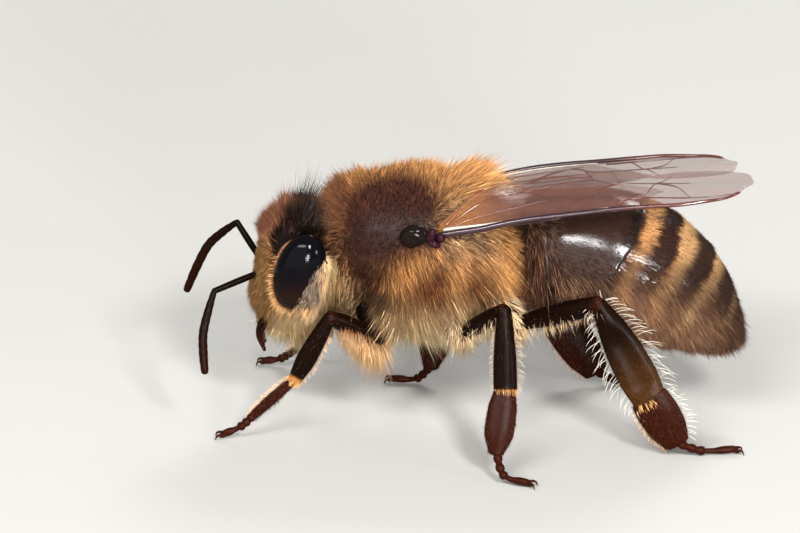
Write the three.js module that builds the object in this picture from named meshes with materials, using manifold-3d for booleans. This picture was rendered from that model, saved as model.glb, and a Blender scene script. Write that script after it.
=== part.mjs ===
// A worker honey bee at rest, life size, as a still museum model.
//
// Millimetres, +Z up. The bee faces -X, its left side is -Y, and its feet stand on z = 0.
// Every body reaches out to the tips of the coat, so the insect's true skin lies a little inside it.
// Bodies are lofts: an oval section carried along a smooth line through a few named stations.
// Neighbouring bodies are parted by a thin clear gap, made by cutting one with the other grown by it.

import * as THREE from "three";
import { mergeVertices } from "three/addons/utils/BufferGeometryUtils.js";
import Module from "manifold-3d";

const wasm = await Module();
wasm.setup();

// ---- Driving dimensions ----

const gap = 0.06; // clear space between two neighbouring bodies
const thin = 0.26; // half of the least thickness of a leg, a feeler or a claw
const cutReach = 20; // edge of the boxes that stand for a half space, longer than the bee
const mergeTolerance = 1e-4;

// How finely each kind of body is faceted: sides round the section, rows along it and rows in a cap.
const facets = {
  head: { around: 18, rows: 8, capRows: 2 },
  thorax: { around: 20, rows: 9, capRows: 2 },
  abdomen: { around: 20, rows: 12, capRows: 2 },
  limb: { around: 8, rows: 3, capRows: 2 },
  strut: { around: 12, rows: 1, capRows: 1 },
  eye: { around: 14, rows: 8 },
  tegula: { around: 10, rows: 6 },
  wingCurve: 4,
};

const LEFT = -1;
const RIGHT = 1;

// Head: the line runs from the crown to the chin, with the chin a little forward.
const headCentre = { x: -5.78, z: 4.56 };
const headTilt = THREE.MathUtils.degToRad(9);
const headStations = [
  { along: -1.55, wide: 1.2, rear: 0.45, front: 0.92 },
  { along: -0.9, wide: 1.68, rear: 0.72, front: 1.12 },
  { along: 0, wide: 1.82, rear: 0.75, front: 1.14 },
  { along: 0.9, wide: 1.45, rear: 0.72, front: 1.08 },
  { along: 1.62, wide: 0.9, rear: 0.6, front: 0.82 },
];
const headCap = 0.38;

// Compound eye: an upright oval, its lower end forward, standing a little proud of the head's side.
const eye = { x: -5.56, y: 1.45, z: 5.02, long: 1.14, wide: 0.7, deep: 0.52, lean: 0.19 };

// Thorax: from its front to its rear. Low is the half height under the line.
const thoraxStations = [
  { x: -4.25, z: 4.8, wide: 1.35, high: 1.5, low: 1.45 },
  { x: -3.5, z: 5.0, wide: 2.08, high: 2.28, low: 2.15 },
  { x: -2.4, z: 5.05, wide: 2.3, high: 2.55, low: 2.4 },
  { x: -1.2, z: 5.0, wide: 2.15, high: 2.3, low: 2.2 },
  { x: -0.3, z: 4.75, wide: 1.5, high: 1.5, low: 1.5 },
];
const thoraxCap = 0.45;

const neck = { front: -5.4, rear: -4.3, z: 4.8, radius: 0.62 };
const waist = { front: -0.4, rear: 1.1, z: 4.45, radius: 0.42 };

// Tegula: the shiny scale over the root of a forewing.
const tegula = { x: -2.0, y: 2.0, z: 6.0, long: 0.4, wide: 0.24, high: 0.34 };

// Abdomen: the line droops towards the tail and turns down at its end.
const abdomenStations = [
  { x: 0.75, z: 4.7, wide: 1.3, high: 1.25, low: 1.1 },
  { x: 1.67, z: 4.78, wide: 1.85, high: 1.55, low: 1.5 },
  { x: 2.9, z: 4.62, wide: 2.08, high: 1.75, low: 1.75 },
  { x: 4.1, z: 4.2, wide: 2.05, high: 1.82, low: 1.9 },
  { x: 5.1, z: 3.62, wide: 1.78, high: 1.52, low: 1.72 },
  { x: 5.85, z: 2.9, wide: 1.28, high: 1.02, low: 1.2 },
  { x: 6.38, z: 2.3, wide: 0.68, high: 0.55, low: 0.62 },
];
const abdomenCap = 0.3;
// Where each ring of the abdomen ends, as a share of the whole line.
const ringEnds = [0.17, 0.4, 0.56, 0.7, 0.83];

// Wings: a plan seen from above, bent up from the root by one height curve.
const wingHalfThick = 0.25;
const wingRise = { root: 5.98, level: 7.2, start: -1.6, reach: 3 };
const wingRootWidth = 0.45;
const forewing = {
  root: [-1.75, 1.5],
  costa: [[-0.4, 1.95], [1.67, 1.98], [5.0, 1.56]],
  tip: [6.98, 0.62],
  trail: [6.75, 0.18],
  under: 0,
};
const hindwing = {
  root: [-1.2, 1.35],
  costa: [[0.4, 1.7], [2.4, 1.62], [3.9, 1.3]],
  tip: [4.9, 0.6],
  trail: [4.6, 0.2],
  under: 0.56,
};

// Feelers: scape from the face to the elbow, then the flagellum to the tip.
const feelers = {
  left: {
    root: [-6.72, -0.32, 4.38],
    elbow: [-7.92, -0.9, 4.05],
    bend: [-8.22, -1.45, 3.0],
    tip: [-8.17, -2.0, 2.08],
  },
  right: {
    root: [-6.68, 0.34, 4.42],
    elbow: [-7.31, 0.9, 5.39],
    bend: [-8.1, 1.15, 4.62],
    tip: [-8.73, 1.2, 3.23],
  },
};

// Mandible and folded tongue, seen under the face.
const mandible = { root: [-6.3, 0.72, 3.2], elbow: [-6.55, 0.62, 2.75], tip: [-6.5, 0.3, 2.3] };
const mandibleSize = { broad: [0.3, 0.28, 0.2], thick: [thin, thin, 0.16] };
const tongue = { root: [-6.1, 0, 2.95], fold: [-5.9, 0, 2.42], tip: [-5.2, 0, 2.62] };
const tongueSize = { broad: [0.28, 0.28, thin], thick: [0.28, 0.28, thin] };
const evenSize = { broad: [thin, thin, thin], thick: [thin, thin, thin] };

// Legs: half sizes of the sections, the same on both sides. Broad lies in the leg's own flat plane.
const legSizes = {
  fore: {
    coxa: { broad: [0.55, 0.72], thick: [0.5, 0.55] },
    femur: { broad: [0.34, 0.38, 0.3], thick: [0.3, 0.32, thin] },
    tibia: { broad: [thin, 0.32, 0.3], thick: [thin, 0.27, thin] },
    basitarsus: { broad: [thin, thin], thick: [thin, thin] },
  },
  mid: {
    coxa: { broad: [0.5, 0.4], thick: [0.5, 0.4] },
    femur: { broad: [0.34, 0.38, 0.3], thick: [0.3, 0.32, thin] },
    tibia: { broad: [thin, 0.36, 0.4], thick: [thin, 0.27, 0.27] },
    basitarsus: { broad: [0.36, 0.42, 0.3], thick: [thin, thin, thin] },
  },
  hind: {
    coxa: { broad: [0.52, 0.42], thick: [0.5, 0.4] },
    femur: { broad: [0.34, 0.42, 0.34], thick: [0.3, 0.34, 0.28] },
    tibia: { broad: [0.3, 0.52, 0.68], thick: [thin, 0.3, 0.3] },
    basitarsus: { broad: [0.58, 0.6, 0.42], thick: [thin, 0.28, thin] },
  },
};

// The stance: where each leg's joints stand, from the hip at the thorax to the claws.
const stance = {
  fore_left: {
    size: legSizes.fore,
    hip: [-3.66, -0.7, 3.5],
    trochanter: [-3.32, -0.92, 2.55],
    knee: [-4.72, -1.5, 3.51],
    ankle: [-5.67, -1.7, 1.77],
    heel: [-6.81, -1.8, 0.73],
    foot: [-7.2, -1.8, 0.36],
    toe: [-7.66, -1.8, 0.15],
  },
  fore_right: {
    size: legSizes.fore,
    hip: [-3.66, 0.7, 3.5],
    trochanter: [-3.36, 1.0, 2.6],
    knee: [-4.6, 2.3, 3.5],
    ankle: [-4.86, 2.6, 1.4],
    heel: [-5.83, 3.4, 0.45],
    foot: [-6.15, 3.46, 0.22],
    toe: [-6.6, 3.5, 0.14],
  },
  mid_left: {
    size: legSizes.mid,
    hip: [-1.5, -0.9, 3.5],
    trochanter: [-1.06, -1.4, 2.98],
    knee: [0.08, -2.8, 4.25],
    ankle: [0.11, -3.7, 2.33],
    heel: [-0.14, -4.6, 0.78],
    foot: [0.08, -5.0, 0.25],
    toe: [0.72, -5.2, 0.14],
  },
  mid_right: {
    size: legSizes.mid,
    hip: [-1.5, 0.9, 3.5],
    trochanter: [-1.1, 1.4, 3.0],
    knee: [-1.3, 3.3, 4.1],
    ankle: [-1.6, 2.7, 2.1],
    heel: [-1.92, 2.2, 0.5],
    foot: [-2.3, 2.15, 0.16],
    toe: [-2.98, 2.2, 0.14],
  },
  hind_left: {
    size: legSizes.hind,
    hip: [-0.25, -0.85, 3.75],
    trochanter: [0.42, -1.35, 3.25],
    knee: [2.69, -2.6, 4.35],
    ankle: [4.08, -3.0, 1.72],
    heel: [4.86, -3.1, 0.42],
    foot: [5.56, -3.0, 0.15],
    toe: [6.46, -2.9, 0.16],
  },
  hind_right: {
    size: legSizes.hind,
    hip: [-0.25, 0.85, 3.75],
    trochanter: [0.4, 1.35, 3.25],
    knee: [1.75, 3.2, 4.7],
    ankle: [1.72, 2.3, 1.85],
    heel: [2.72, 2.05, 0.42],
    foot: [3.3, 2.05, 0.15],
    toe: [4.15, 2.05, 0.14],
  },
};

// ---- Finishes ----

const finish = {
  coat: { color: "#a5804f", roughness: 0.9, metalness: 0 },
  shell: { color: "#2a1a14", roughness: 0.35, metalness: 0 },
  leg: { color: "#3a2016", roughness: 0.4, metalness: 0 },
  eye: { color: "#120d0c", roughness: 0.18, metalness: 0 },
  wing: { color: "#8c7a5c", roughness: 0.25, metalness: 0 },
};

// ---- Making solids ----

const X = new THREE.Vector3(1, 0, 0);
const Y = new THREE.Vector3(0, 1, 0);
const Z = new THREE.Vector3(0, 0, 1);

function vector(point) {
  return new THREE.Vector3(point[0], point[1], point[2]);
}

// A closed three.js geometry becomes a solid once its shared corners are merged.
function solid(geometry) {
  const bare = geometry.clone();
  bare.deleteAttribute("normal");
  bare.deleteAttribute("uv");
  const merged = mergeVertices(bare, mergeTolerance);
  const mesh = new wasm.Mesh({
    numProp: 3,
    vertProperties: new Float32Array(merged.attributes.position.array),
    triVerts: new Uint32Array(merged.index.array),
  });
  return new wasm.Manifold(mesh);
}

// A sphere's grid, with each corner moved to the place that a function of its longitude (0 to 1)
// and its way from pole to pole (0 to 1) gives.
function sphereGrid(around, along, place) {
  const shape = new THREE.SphereGeometry(1, around, along);
  const grid = shape.attributes.uv;
  const points = shape.attributes.position;
  for (let i = 0; i < points.count; i += 1) {
    const target = place(grid.getX(i), 1 - grid.getY(i));
    points.setXYZ(i, target.x, target.y, target.z);
  }
  return solid(shape);
}

// An oval section carried along a smooth line, closed by a rounded cap at each end.
// A station holds its point, the half size wide (along side), and the half sizes high and low
// (along the line's direction crossed with side, and against it).
function loft({ stations, side, cap, facet, grow }) {
  const line = new THREE.CatmullRomCurve3(stations.map((station) => vector(station.point)));
  const sizes = new THREE.CatmullRomCurve3(
    stations.map(({ wide, high, low = high }) => vector([wide + grow, high + grow, low + grow])),
  );
  const allRows = facet.rows + 2 * facet.capRows;
  const capShare = facet.capRows / allRows;
  return sphereGrid(facet.around, allRows, (turn, way) => {
    const startAngle = (Math.PI / 2) * Math.min(1, way / capShare);
    const endAngle = (Math.PI / 2) * Math.min(1, (1 - way) / capShare);
    const t = THREE.MathUtils.clamp((way - capShare) / (1 - 2 * capShare), 0, 1);
    const size = sizes.getPoint(t);
    const along = line.getTangent(t);
    const across = side.clone().addScaledVector(along, -side.dot(along)).normalize();
    const up = along.clone().cross(across);
    const ring = Math.sin(startAngle) * Math.sin(endAngle);
    const reach = (Math.cos(endAngle) - Math.cos(startAngle)) * (cap + grow);
    const lift = Math.sin(2 * Math.PI * turn) * ring;
    return line
      .getPoint(t)
      .addScaledVector(along, reach)
      .addScaledVector(across, -Math.cos(2 * Math.PI * turn) * ring * size.x)
      .addScaledVector(up, lift * (lift > 0 ? size.y : size.z));
  });
}

// A jointed limb's length: stations between joints, with the half sizes spread evenly along it.
function limb(joints, size, side, grow) {
  const line = new THREE.CatmullRomCurve3(joints.map(vector));
  const stations = size.broad.map((broad, i) => ({
    point: line.getPoint(i / (size.broad.length - 1)).toArray(),
    wide: broad,
    high: size.thick[i],
  }));
  const cap = Math.min(size.thick[0], size.thick.at(-1));
  return loft({ stations, side, cap, facet: facets.limb, grow });
}

// An ellipsoid with its three half sizes, turned about Y and moved to its centre.
function ellipsoid(centre, half, lean, facet, grow) {
  const shape = new THREE.SphereGeometry(1, facet.around, facet.rows);
  shape.rotateX(Math.PI / 2);
  shape.scale(half[0] + grow, half[1] + grow, half[2] + grow);
  shape.rotateY(lean);
  shape.translate(centre[0], centre[1], centre[2]);
  return solid(shape);
}

// All the space on the far side of a plane, as a large box.
function halfSpace(point, normal) {
  const box = new THREE.BoxGeometry(cutReach, cutReach, cutReach);
  box.translate(0, 0, cutReach / 2);
  box.applyQuaternion(new THREE.Quaternion().setFromUnitVectors(Z, normal));
  box.translate(point.x, point.y, point.z);
  return solid(box);
}

// A cut can leave a crumb beyond its neighbour: the body is the largest piece.
function largest(body) {
  return body.decompose().reduce((best, piece) => (piece.volume() > best.volume() ? piece : best));
}

// ---- The parts list ----

const bee = new THREE.Group();
const rooms = new Map(); // each body grown by the gap: the room that its neighbours leave it

function addBody(name, body, look) {
  const mesh = body.getMesh();
  const geometry = new THREE.BufferGeometry();
  geometry.setAttribute("position", new THREE.BufferAttribute(mesh.vertProperties, 3));
  geometry.setIndex(new THREE.BufferAttribute(mesh.triVerts, 1));
  geometry.computeVertexNormals();
  const part = new THREE.Mesh(geometry, new THREE.MeshStandardMaterial(look));
  part.name = name;
  bee.add(part);
}

function carve(body, neighbours) {
  return largest(neighbours.reduce((rest, name) => rest.subtract(rooms.get(name)), body));
}

// A body given as a function of how much it is grown, carved by the rooms of those made before it.
function addPart(name, shape, look, neighbours = []) {
  rooms.set(name, shape(gap));
  addBody(name, carve(shape(0), neighbours), look);
}

// ---- Head ----

function headPoint(along) {
  return [headCentre.x - along * Math.sin(headTilt), 0, headCentre.z - along * Math.cos(headTilt)];
}

function headShape(grow) {
  const stations = headStations.map((station) => ({
    point: headPoint(station.along),
    wide: station.wide,
    high: station.rear,
    low: station.front,
  }));
  return loft({ stations, side: Y, cap: headCap, facet: facets.head, grow });
}

function makeHead() {
  for (const [name, side] of [["eye_left", LEFT], ["eye_right", RIGHT]]) {
    const centre = [eye.x, side * eye.y, eye.z];
    const half = [eye.wide, eye.deep, eye.long];
    addPart(name, (grow) => ellipsoid(centre, half, eye.lean, facets.eye, grow), finish.eye);
  }
  addPart("head", headShape, finish.coat, ["eye_left", "eye_right"]);
}

function makeMouth() {
  const fold = [tongue.root, tongue.fold, tongue.tip];
  addPart("proboscis", (grow) => limb(fold, tongueSize, Y, grow), finish.shell, ["head"]);
  for (const [name, side] of [["mandible_left", LEFT], ["mandible_right", RIGHT]]) {
    const joints = [mandible.root, mandible.elbow, mandible.tip].map(([x, y, z]) => [x, side * y, z]);
    addPart(name, (grow) => limb(joints, mandibleSize, X, grow), finish.shell, ["head", "proboscis"]);
  }
}

function makeFeelers() {
  for (const [side, { root, elbow, bend, tip }] of Object.entries(feelers)) {
    const scape = (grow) => limb([root, elbow], evenSize, Y, grow);
    const whip = (grow) => limb([elbow, bend, tip], evenSize, Y, grow);
    addPart(`scape_${side}`, scape, finish.shell, ["head"]);
    addPart(`flagellum_${side}`, whip, finish.shell, [`scape_${side}`]);
  }
}

// ---- Thorax, neck and waist ----

// Stations whose line runs in the bee's plane of symmetry.
function onMidline(stations) {
  return stations.map(({ x, z, wide, high, low }) => ({ point: [x, 0, z], wide, high, low }));
}

function thoraxShape(grow) {
  const stations = onMidline(thoraxStations);
  return loft({ stations, side: Y, cap: thoraxCap, facet: facets.thorax, grow });
}

function makeThorax() {
  for (const [name, side] of [["tegula_left", LEFT], ["tegula_right", RIGHT]]) {
    const centre = [tegula.x, side * tegula.y, tegula.z];
    const half = [tegula.long, tegula.wide, tegula.high];
    addPart(name, (grow) => ellipsoid(centre, half, 0, facets.tegula, grow), finish.shell);
  }
  addPart("thorax", thoraxShape, finish.coat, ["tegula_left", "tegula_right"]);
  addPart("neck", (grow) => strut(neck, grow), finish.shell, ["head", "thorax"]);
}

// A plain round bar along X between two neighbours.
function strut({ front, rear, z, radius }, grow) {
  const stations = [front, rear].map((x) => ({ point: [x, 0, z], wide: radius, high: radius }));
  return loft({ stations, side: Y, cap: thin, facet: facets.strut, grow });
}

// ---- Abdomen ----

function abdomenShape(grow) {
  const stations = onMidline(abdomenStations);
  return loft({ stations, side: Y, cap: abdomenCap, facet: facets.abdomen, grow });
}

// The whole abdomen is parted into its rings by planes square to its line.
function makeAbdomen() {
  const line = new THREE.CatmullRomCurve3(abdomenStations.map(({ x, z }) => vector([x, 0, z])));
  const whole = abdomenShape(0);
  rooms.set("abdomen", abdomenShape(gap));
  for (let i = 0; i <= ringEnds.length; i += 1) {
    let ring = whole;
    if (i > 0) {
      ring = ring.intersect(ringPlane(line, ringEnds[i - 1], gap / 2));
    }
    if (i < ringEnds.length) {
      ring = ring.subtract(ringPlane(line, ringEnds[i], -gap / 2));
    }
    addBody(`abdomen_${i + 1}`, largest(ring), finish.shell);
  }
  addPart("petiole", (grow) => strut(waist, grow), finish.shell, ["thorax", "abdomen"]);
}

function ringPlane(line, share, offset) {
  const along = line.getTangent(share);
  return halfSpace(line.getPoint(share).addScaledVector(along, offset), along);
}

// ---- Wings ----

// Height of a wing's middle layer: steep at the root, level over the abdomen.
function wingHeight(x) {
  const { root, level, start, reach } = wingRise;
  return level - (level - root) * Math.exp(-(x - start) / reach);
}

// A wing's plan on one side of the midline: the stiff front edge, the rounded tip, and back inside.
function wingPlan({ root, costa, tip, trail }, side, grow) {
  const inner = gap / 2 - grow;
  const plan = new THREE.Shape();
  plan.moveTo(root[0] - grow, side * (root[1] - wingRootWidth - grow));
  plan.lineTo(root[0] - grow, side * (root[1] + grow));
  plan.splineThru([...costa, tip].map(([x, y]) => new THREE.Vector2(x, side * (y + grow))));
  plan.quadraticCurveTo(tip[0] + grow, side * trail[1], trail[0], side * inner);
  plan.lineTo(costa[0][0], side * inner);
  return plan;
}

function wingShape(wing, side, grow) {
  const plan = wingPlan(wing, side, grow);
  const thick = 2 * (wingHalfThick + grow);
  const settings = { depth: thick, bevelEnabled: false, curveSegments: facets.wingCurve };
  const shape = new THREE.ExtrudeGeometry(plan, settings);
  const points = shape.attributes.position;
  for (let i = 0; i < points.count; i += 1) {
    const middle = wingHeight(points.getX(i)) - wing.under;
    points.setZ(i, middle + points.getZ(i) - thick / 2);
  }
  return solid(shape);
}

function makeWings() {
  for (const [side, hand] of [["left", LEFT], ["right", RIGHT]]) {
    const fore = (grow) => wingShape(forewing, hand, grow);
    const hind = (grow) => wingShape(hindwing, hand, grow);
    const around = ["thorax", `tegula_${side}`, "abdomen"];
    addPart(`forewing_${side}`, fore, finish.wing, around);
    addPart(`hindwing_${side}`, hind, finish.wing, [...around, `forewing_${side}`]);
  }
}

// ---- Legs ----

// The foot: four short joints and the claws, cut level with the floor so that the leg stands on a flat.
function footShape({ heel, foot, toe }, grow) {
  const floor = halfSpace(new THREE.Vector3(), Z);
  return limb([heel, foot, toe], evenSize, Y, grow).intersect(floor);
}

function makeLeg(name, leg) {
  const { size, hip, trochanter, knee, ankle, heel } = leg;
  const pieces = [
    { piece: "coxa", side: X, joints: [hip, trochanter] },
    { piece: "femur", side: Z, joints: [trochanter, knee] },
    { piece: "tibia", side: X, joints: [knee, ankle] },
    { piece: "basitarsus", side: X, joints: [ankle, heel] },
  ];
  let neighbours = ["thorax", "abdomen"];
  for (const { piece, side, joints } of pieces) {
    const partName = `${name}_${piece}`;
    addPart(partName, (grow) => limb(joints, size[piece], side, grow), finish.leg, neighbours);
    neighbours = ["thorax", "abdomen", partName];
  }
  addPart(`${name}_tarsus`, (grow) => footShape(leg, grow), finish.leg, neighbours);
}

// ---- Build ----

makeHead();
makeMouth();
makeFeelers();
makeThorax();
makeAbdomen();
makeWings();
for (const [name, leg] of Object.entries(stance)) {
  makeLeg(`leg_${name}`, leg);
}

// The origin is under the middle of the bee's box, on the floor.
const box = new THREE.Box3().setFromObject(bee);
const middle = box.getCenter(new THREE.Vector3());
bee.position.set(-middle.x, -middle.y, -box.min.z);

export default bee;
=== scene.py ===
"""A worker honey bee at rest, life size: skins, shell plates, coat, wings and legs over a fixed frame.

Lengths are in millimetres of the bee's own frame: it faces -X, its left side is -Y, its feet stand on
z = 0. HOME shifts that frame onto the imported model, and MM turns it to metres when a mesh is made.
"""

import math

import bpy
import numpy as np
from bpy.props import FloatProperty, FloatVectorProperty, IntProperty, PointerProperty
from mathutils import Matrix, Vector


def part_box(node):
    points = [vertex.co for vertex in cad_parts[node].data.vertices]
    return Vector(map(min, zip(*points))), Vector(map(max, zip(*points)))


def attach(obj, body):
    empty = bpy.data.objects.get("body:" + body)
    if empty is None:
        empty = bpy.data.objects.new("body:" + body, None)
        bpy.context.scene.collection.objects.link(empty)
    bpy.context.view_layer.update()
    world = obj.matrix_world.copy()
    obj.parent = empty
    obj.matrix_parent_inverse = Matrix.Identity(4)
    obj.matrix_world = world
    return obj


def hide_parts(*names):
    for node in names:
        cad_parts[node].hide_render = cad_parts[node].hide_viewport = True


bl_info = {
    "name": "Worker honey bee",
    "version": (1, 0, 0),
    "blender": (4, 5, 0),
    "location": "3D View > Sidebar > Bee",
    "description": "Builds the looks of a still, life-size worker honey bee over its fixed frame",
    "category": "Object",
}

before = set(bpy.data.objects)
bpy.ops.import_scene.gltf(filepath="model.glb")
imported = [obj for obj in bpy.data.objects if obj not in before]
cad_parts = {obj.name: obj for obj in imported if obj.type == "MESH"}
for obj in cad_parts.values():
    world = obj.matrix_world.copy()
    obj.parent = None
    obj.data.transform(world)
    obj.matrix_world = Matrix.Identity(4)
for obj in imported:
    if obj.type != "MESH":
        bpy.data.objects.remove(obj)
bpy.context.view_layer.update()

MM = 0.001
LEFT, RIGHT = -1, 1
CEILING = 7.74  # no hair tip stands higher over the floor
SIDES = {"left": LEFT, "right": RIGHT}
WHOLE = (0.0, 0.0, 1.0, 1.0)  # a part of the unwrap as left, low, width and height: here all of it
TUFT_PATCH = 0.003  # a hair's own patch on the unwrap
ROOT_DEPTH = 0.02  # how far a hair's root lies under the skin
LEAST_RISE = 0.2  # the least outward share of a hair's direction, so that none sinks into the skin
EYES_MIDDLE = (-5.56, 5.02)  # x and z, halfway between the boxes of the two fixed eyes
EYE = {"centre": (-5.54, 1.45, 4.86), "half": (0.69, 0.52, 1.13), "lean": 0.3}
# The plate behind an eye, its shift taken from the eye's middle along the eye's own axes.
GENA = {"shift": (0.42, -0.03, -0.3), "half": (0.38, 0.54, 0.95), "lean": 0.34}


def home():
    """The shift of the bee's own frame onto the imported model: where the middle of both eyes lies."""
    boxes = [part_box("eye_left"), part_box("eye_right")]
    middle = sum((low + high for low, high in boxes), Vector()) / 4
    x, z = EYES_MIDDLE
    return np.array(middle) / MM - np.array((x, 0.0, z))


HOME = home()


# ---- Colours and small sums ----


def linear(code):
    """An sRGB hex colour as linear red, green and blue."""
    part = np.array([int(code[i : i + 2], 16) for i in (1, 3, 5)]) / 255
    return tuple(float(v) for v in np.where(part <= 0.04045, part / 12.92, ((part + 0.055) / 1.055) ** 2.4))


def unit(vectors):
    """The vectors, each divided by its length."""
    return vectors / np.maximum(np.linalg.norm(vectors, axis=-1, keepdims=True), 1e-9)


def ramp(value, start, end):
    """Smooth step from 0 at start to 1 at end, also where end is the smaller."""
    t = np.clip((value - start) / (end - start), 0, 1)
    return t * t * (3 - 2 * t)


def blob(points, centre, half):
    """A soft patch: exp(-d^2), with d the distance from the centre measured in half sizes."""
    return np.exp(-((((points - np.array(centre)) / np.array(half)) ** 2).sum(-1)))


def mirrored(points, centre, half):
    """The same soft patch on the left side and on the right side, as two fields."""
    x, y, z = centre
    return [blob(points, (x, side * y, z), half) for side in (LEFT, RIGHT)]


def flat(count, vector):
    """The same vector for every point."""
    return np.broadcast_to(np.array(vector, float), (count, 3))


def mix_number(low, high, share):
    """A blend of two numbers by a share from 0 to 1."""
    return low + (high - low) * share


def mix(low, high, share):
    """A blend of two colours, or two fields, by a share from 0 to 1."""
    share = np.asarray(share)[..., None]
    return np.asarray(low) * (1 - share) + np.asarray(high) * share


LATTICE = np.random.default_rng(11).random((24, 24, 24))


def noise(points, size, shift=0.0):
    """Smooth noise from -1 to 1: random values on a cube lattice of that size, blended between corners."""
    period = len(LATTICE)
    spot = points / size + shift
    cell = np.floor(spot).astype(int)
    part = spot - cell
    part = part * part * (3 - 2 * part)
    total = np.zeros(len(points))
    for corner in np.ndindex(2, 2, 2):
        weight = np.prod(np.where(corner, part, 1 - part), axis=-1)
        at = (cell + corner) % period
        total += weight * LATTICE[at[:, 0], at[:, 1], at[:, 2]]
    return total * 2 - 1


def noise_vectors(points, size, shift=0.0):
    """Three independent noises as a vector field."""
    return np.stack([noise(points, size, shift + 7.3 * i) for i in range(3)], axis=-1)


def catmull(points, t):
    """The centripetal Catmull-Rom line through the points, and its slope, with t from 0 to 1 along it."""
    points = np.asarray(points, float)
    spans = len(points) - 1
    ends = np.vstack([2 * points[0] - points[1], points, 2 * points[-1] - points[-2]])
    index = np.clip((np.asarray(t) * spans).astype(int), 0, spans - 1)
    w = (np.asarray(t) * spans - index)[..., None]
    p0, p1, p2, p3 = (ends[index + i] for i in range(4))
    d0, d1, d2 = (
        np.maximum(np.linalg.norm((b - a)[..., :3], axis=-1, keepdims=True), 1e-4) ** 0.5
        for a, b in ((p0, p1), (p1, p2), (p2, p3))
    )
    m1 = ((p1 - p0) / d0 - (p2 - p0) / (d0 + d1) + (p2 - p1) / d1) * d1
    m2 = ((p2 - p1) / d1 - (p3 - p1) / (d1 + d2) + (p3 - p2) / d2) * d1
    c2 = -3 * p1 + 3 * p2 - 2 * m1 - m2
    c3 = 2 * p1 - 2 * p2 + m1 + m2
    return p1 + m1 * w + c2 * w**2 + c3 * w**3, m1 + 2 * c2 * w + 3 * c3 * w**2


# ---- Forms: closed surfaces of two parameters, turn (round the section) and way (end to end) ----
#
# Reliefs, tints and styles are fields: functions of points, turn and way, and a style of the normal too.


class Loft:
    """An oval section carried along a smooth line, with a rounded cap at each end.

    A station is x, y, z, wide, high, low. With ring the sine of the cap's angle, the point is
    line(t) + along * reach - across * cos(turn) * ring * wide + up * sin(turn) * ring * (high or low).
    """

    def __init__(self, stations, side, cap, relief=None, cap_share=0.1):
        self.stations = np.array(stations, float)
        self.side = np.array(side, float)
        self.cap = cap
        self.relief = relief
        self.cap_share = cap_share

    def share(self, way):
        """The place along the line, 0 to 1, of a way that also counts the caps."""
        return np.clip((way - self.cap_share) / (1 - 2 * self.cap_share), 0, 1)

    def bare(self, turn, way):
        """The plain form's points. Near each end the cap's angle falls from a right angle to 0."""
        start = np.pi / 2 * np.minimum(1, way / self.cap_share)
        end = np.pi / 2 * np.minimum(1, (1 - way) / self.cap_share)
        t = self.share(way)
        line, slope = catmull(self.stations[:, :3], t)
        size = catmull(self.stations[:, 3:], t)[0]
        along = unit(slope)
        across = unit(self.side - along * (along @ self.side)[..., None])
        up = np.cross(along, across)
        ring = np.sin(start) * np.sin(end)
        reach = (np.cos(end) - np.cos(start)) * self.cap
        lift = np.sin(2 * np.pi * turn) * ring
        wide = -np.cos(2 * np.pi * turn) * ring * size[..., 0]
        high = lift * np.where(lift > 0, size[..., 1], size[..., 2])
        return line + along * reach[..., None] + across * wide[..., None] + up * high[..., None]

    def outward(self, turn, way):
        """The bare form's outward normal and its area for a unit of turn and way, from small steps."""
        way = np.clip(way, 0.004, 0.996)
        step = 0.002
        du = self.bare(turn + step, way) - self.bare(turn - step, way)
        dv = self.bare(turn, way + step) - self.bare(turn, way - step)
        cross = np.cross(dv, du)
        return unit(cross), np.linalg.norm(cross, axis=-1)

    def place(self, turn, way):
        """The points of the finished form: the bare one moved along its normal by the relief."""
        points = self.bare(turn, way)
        if self.relief is None:
            return points
        normal = self.outward(turn, way)[0]
        return points + normal * self.relief(points, turn, self.share(way))[..., None]

    def lie(self, way):
        """The line's own direction, from its first end to its last."""
        return unit(catmull(self.stations[:, :3], self.share(way))[1])


class Egg:
    """An ellipsoid with three half sizes, leaned about Y: the direction (turn, way) on a ball, scaled."""

    def __init__(self, centre, half, lean=0.0, relief=None):
        """lean is in radians, and relief is a field of points, turn and way that raises the surface."""
        self.centre = np.array(centre, float)
        self.half = np.array(half, float)
        self.lean = lean
        self.relief = relief

    def turned(self, points, angle):
        """The points turned about Y: x cos + z sin, y, z cos - x sin."""
        c, s = math.cos(angle), math.sin(angle)
        x, y, z = np.moveaxis(points, -1, 0)
        return np.stack([x * c + z * s, y, -x * s + z * c], axis=-1)

    def bare(self, turn, way):
        """The plain form's points: a ball's, from its lowest to its highest, times the half sizes."""
        polar, around = np.pi * way, 2 * np.pi * turn
        ring = np.sin(polar)
        ball = np.stack([ring * np.cos(around), ring * np.sin(around), -np.cos(polar)], -1)
        return self.centre + self.turned(ball * self.half, self.lean)

    def outward(self, turn, way):
        """The outward normal, and the ball's own area for a unit of turn and way."""
        return self.away(self.bare(turn, way)), np.sin(np.pi * way) + 1e-6

    def place(self, turn, way):
        """The bare points moved along their normals by the relief."""
        points = self.bare(turn, way)
        if self.relief is None:
            return points
        return points + self.outward(turn, way)[0] * self.relief(points, turn, way)[..., None]

    def depth(self, points):
        """Below 1 inside the ellipsoid, 1 on it, above 1 outside."""
        local = self.turned(points - self.centre, -self.lean)
        return np.sqrt(((local / self.half) ** 2).sum(-1))

    def away(self, points):
        """The direction that leads out of the ellipsoid at each point: its place / half^2, made unit."""
        local = self.turned(points - self.centre, -self.lean)
        return unit(self.turned(local / self.half**2, self.lean))


# ---- Meshes: all are triangles, with one tint for each corner and one unwrap ----


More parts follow.
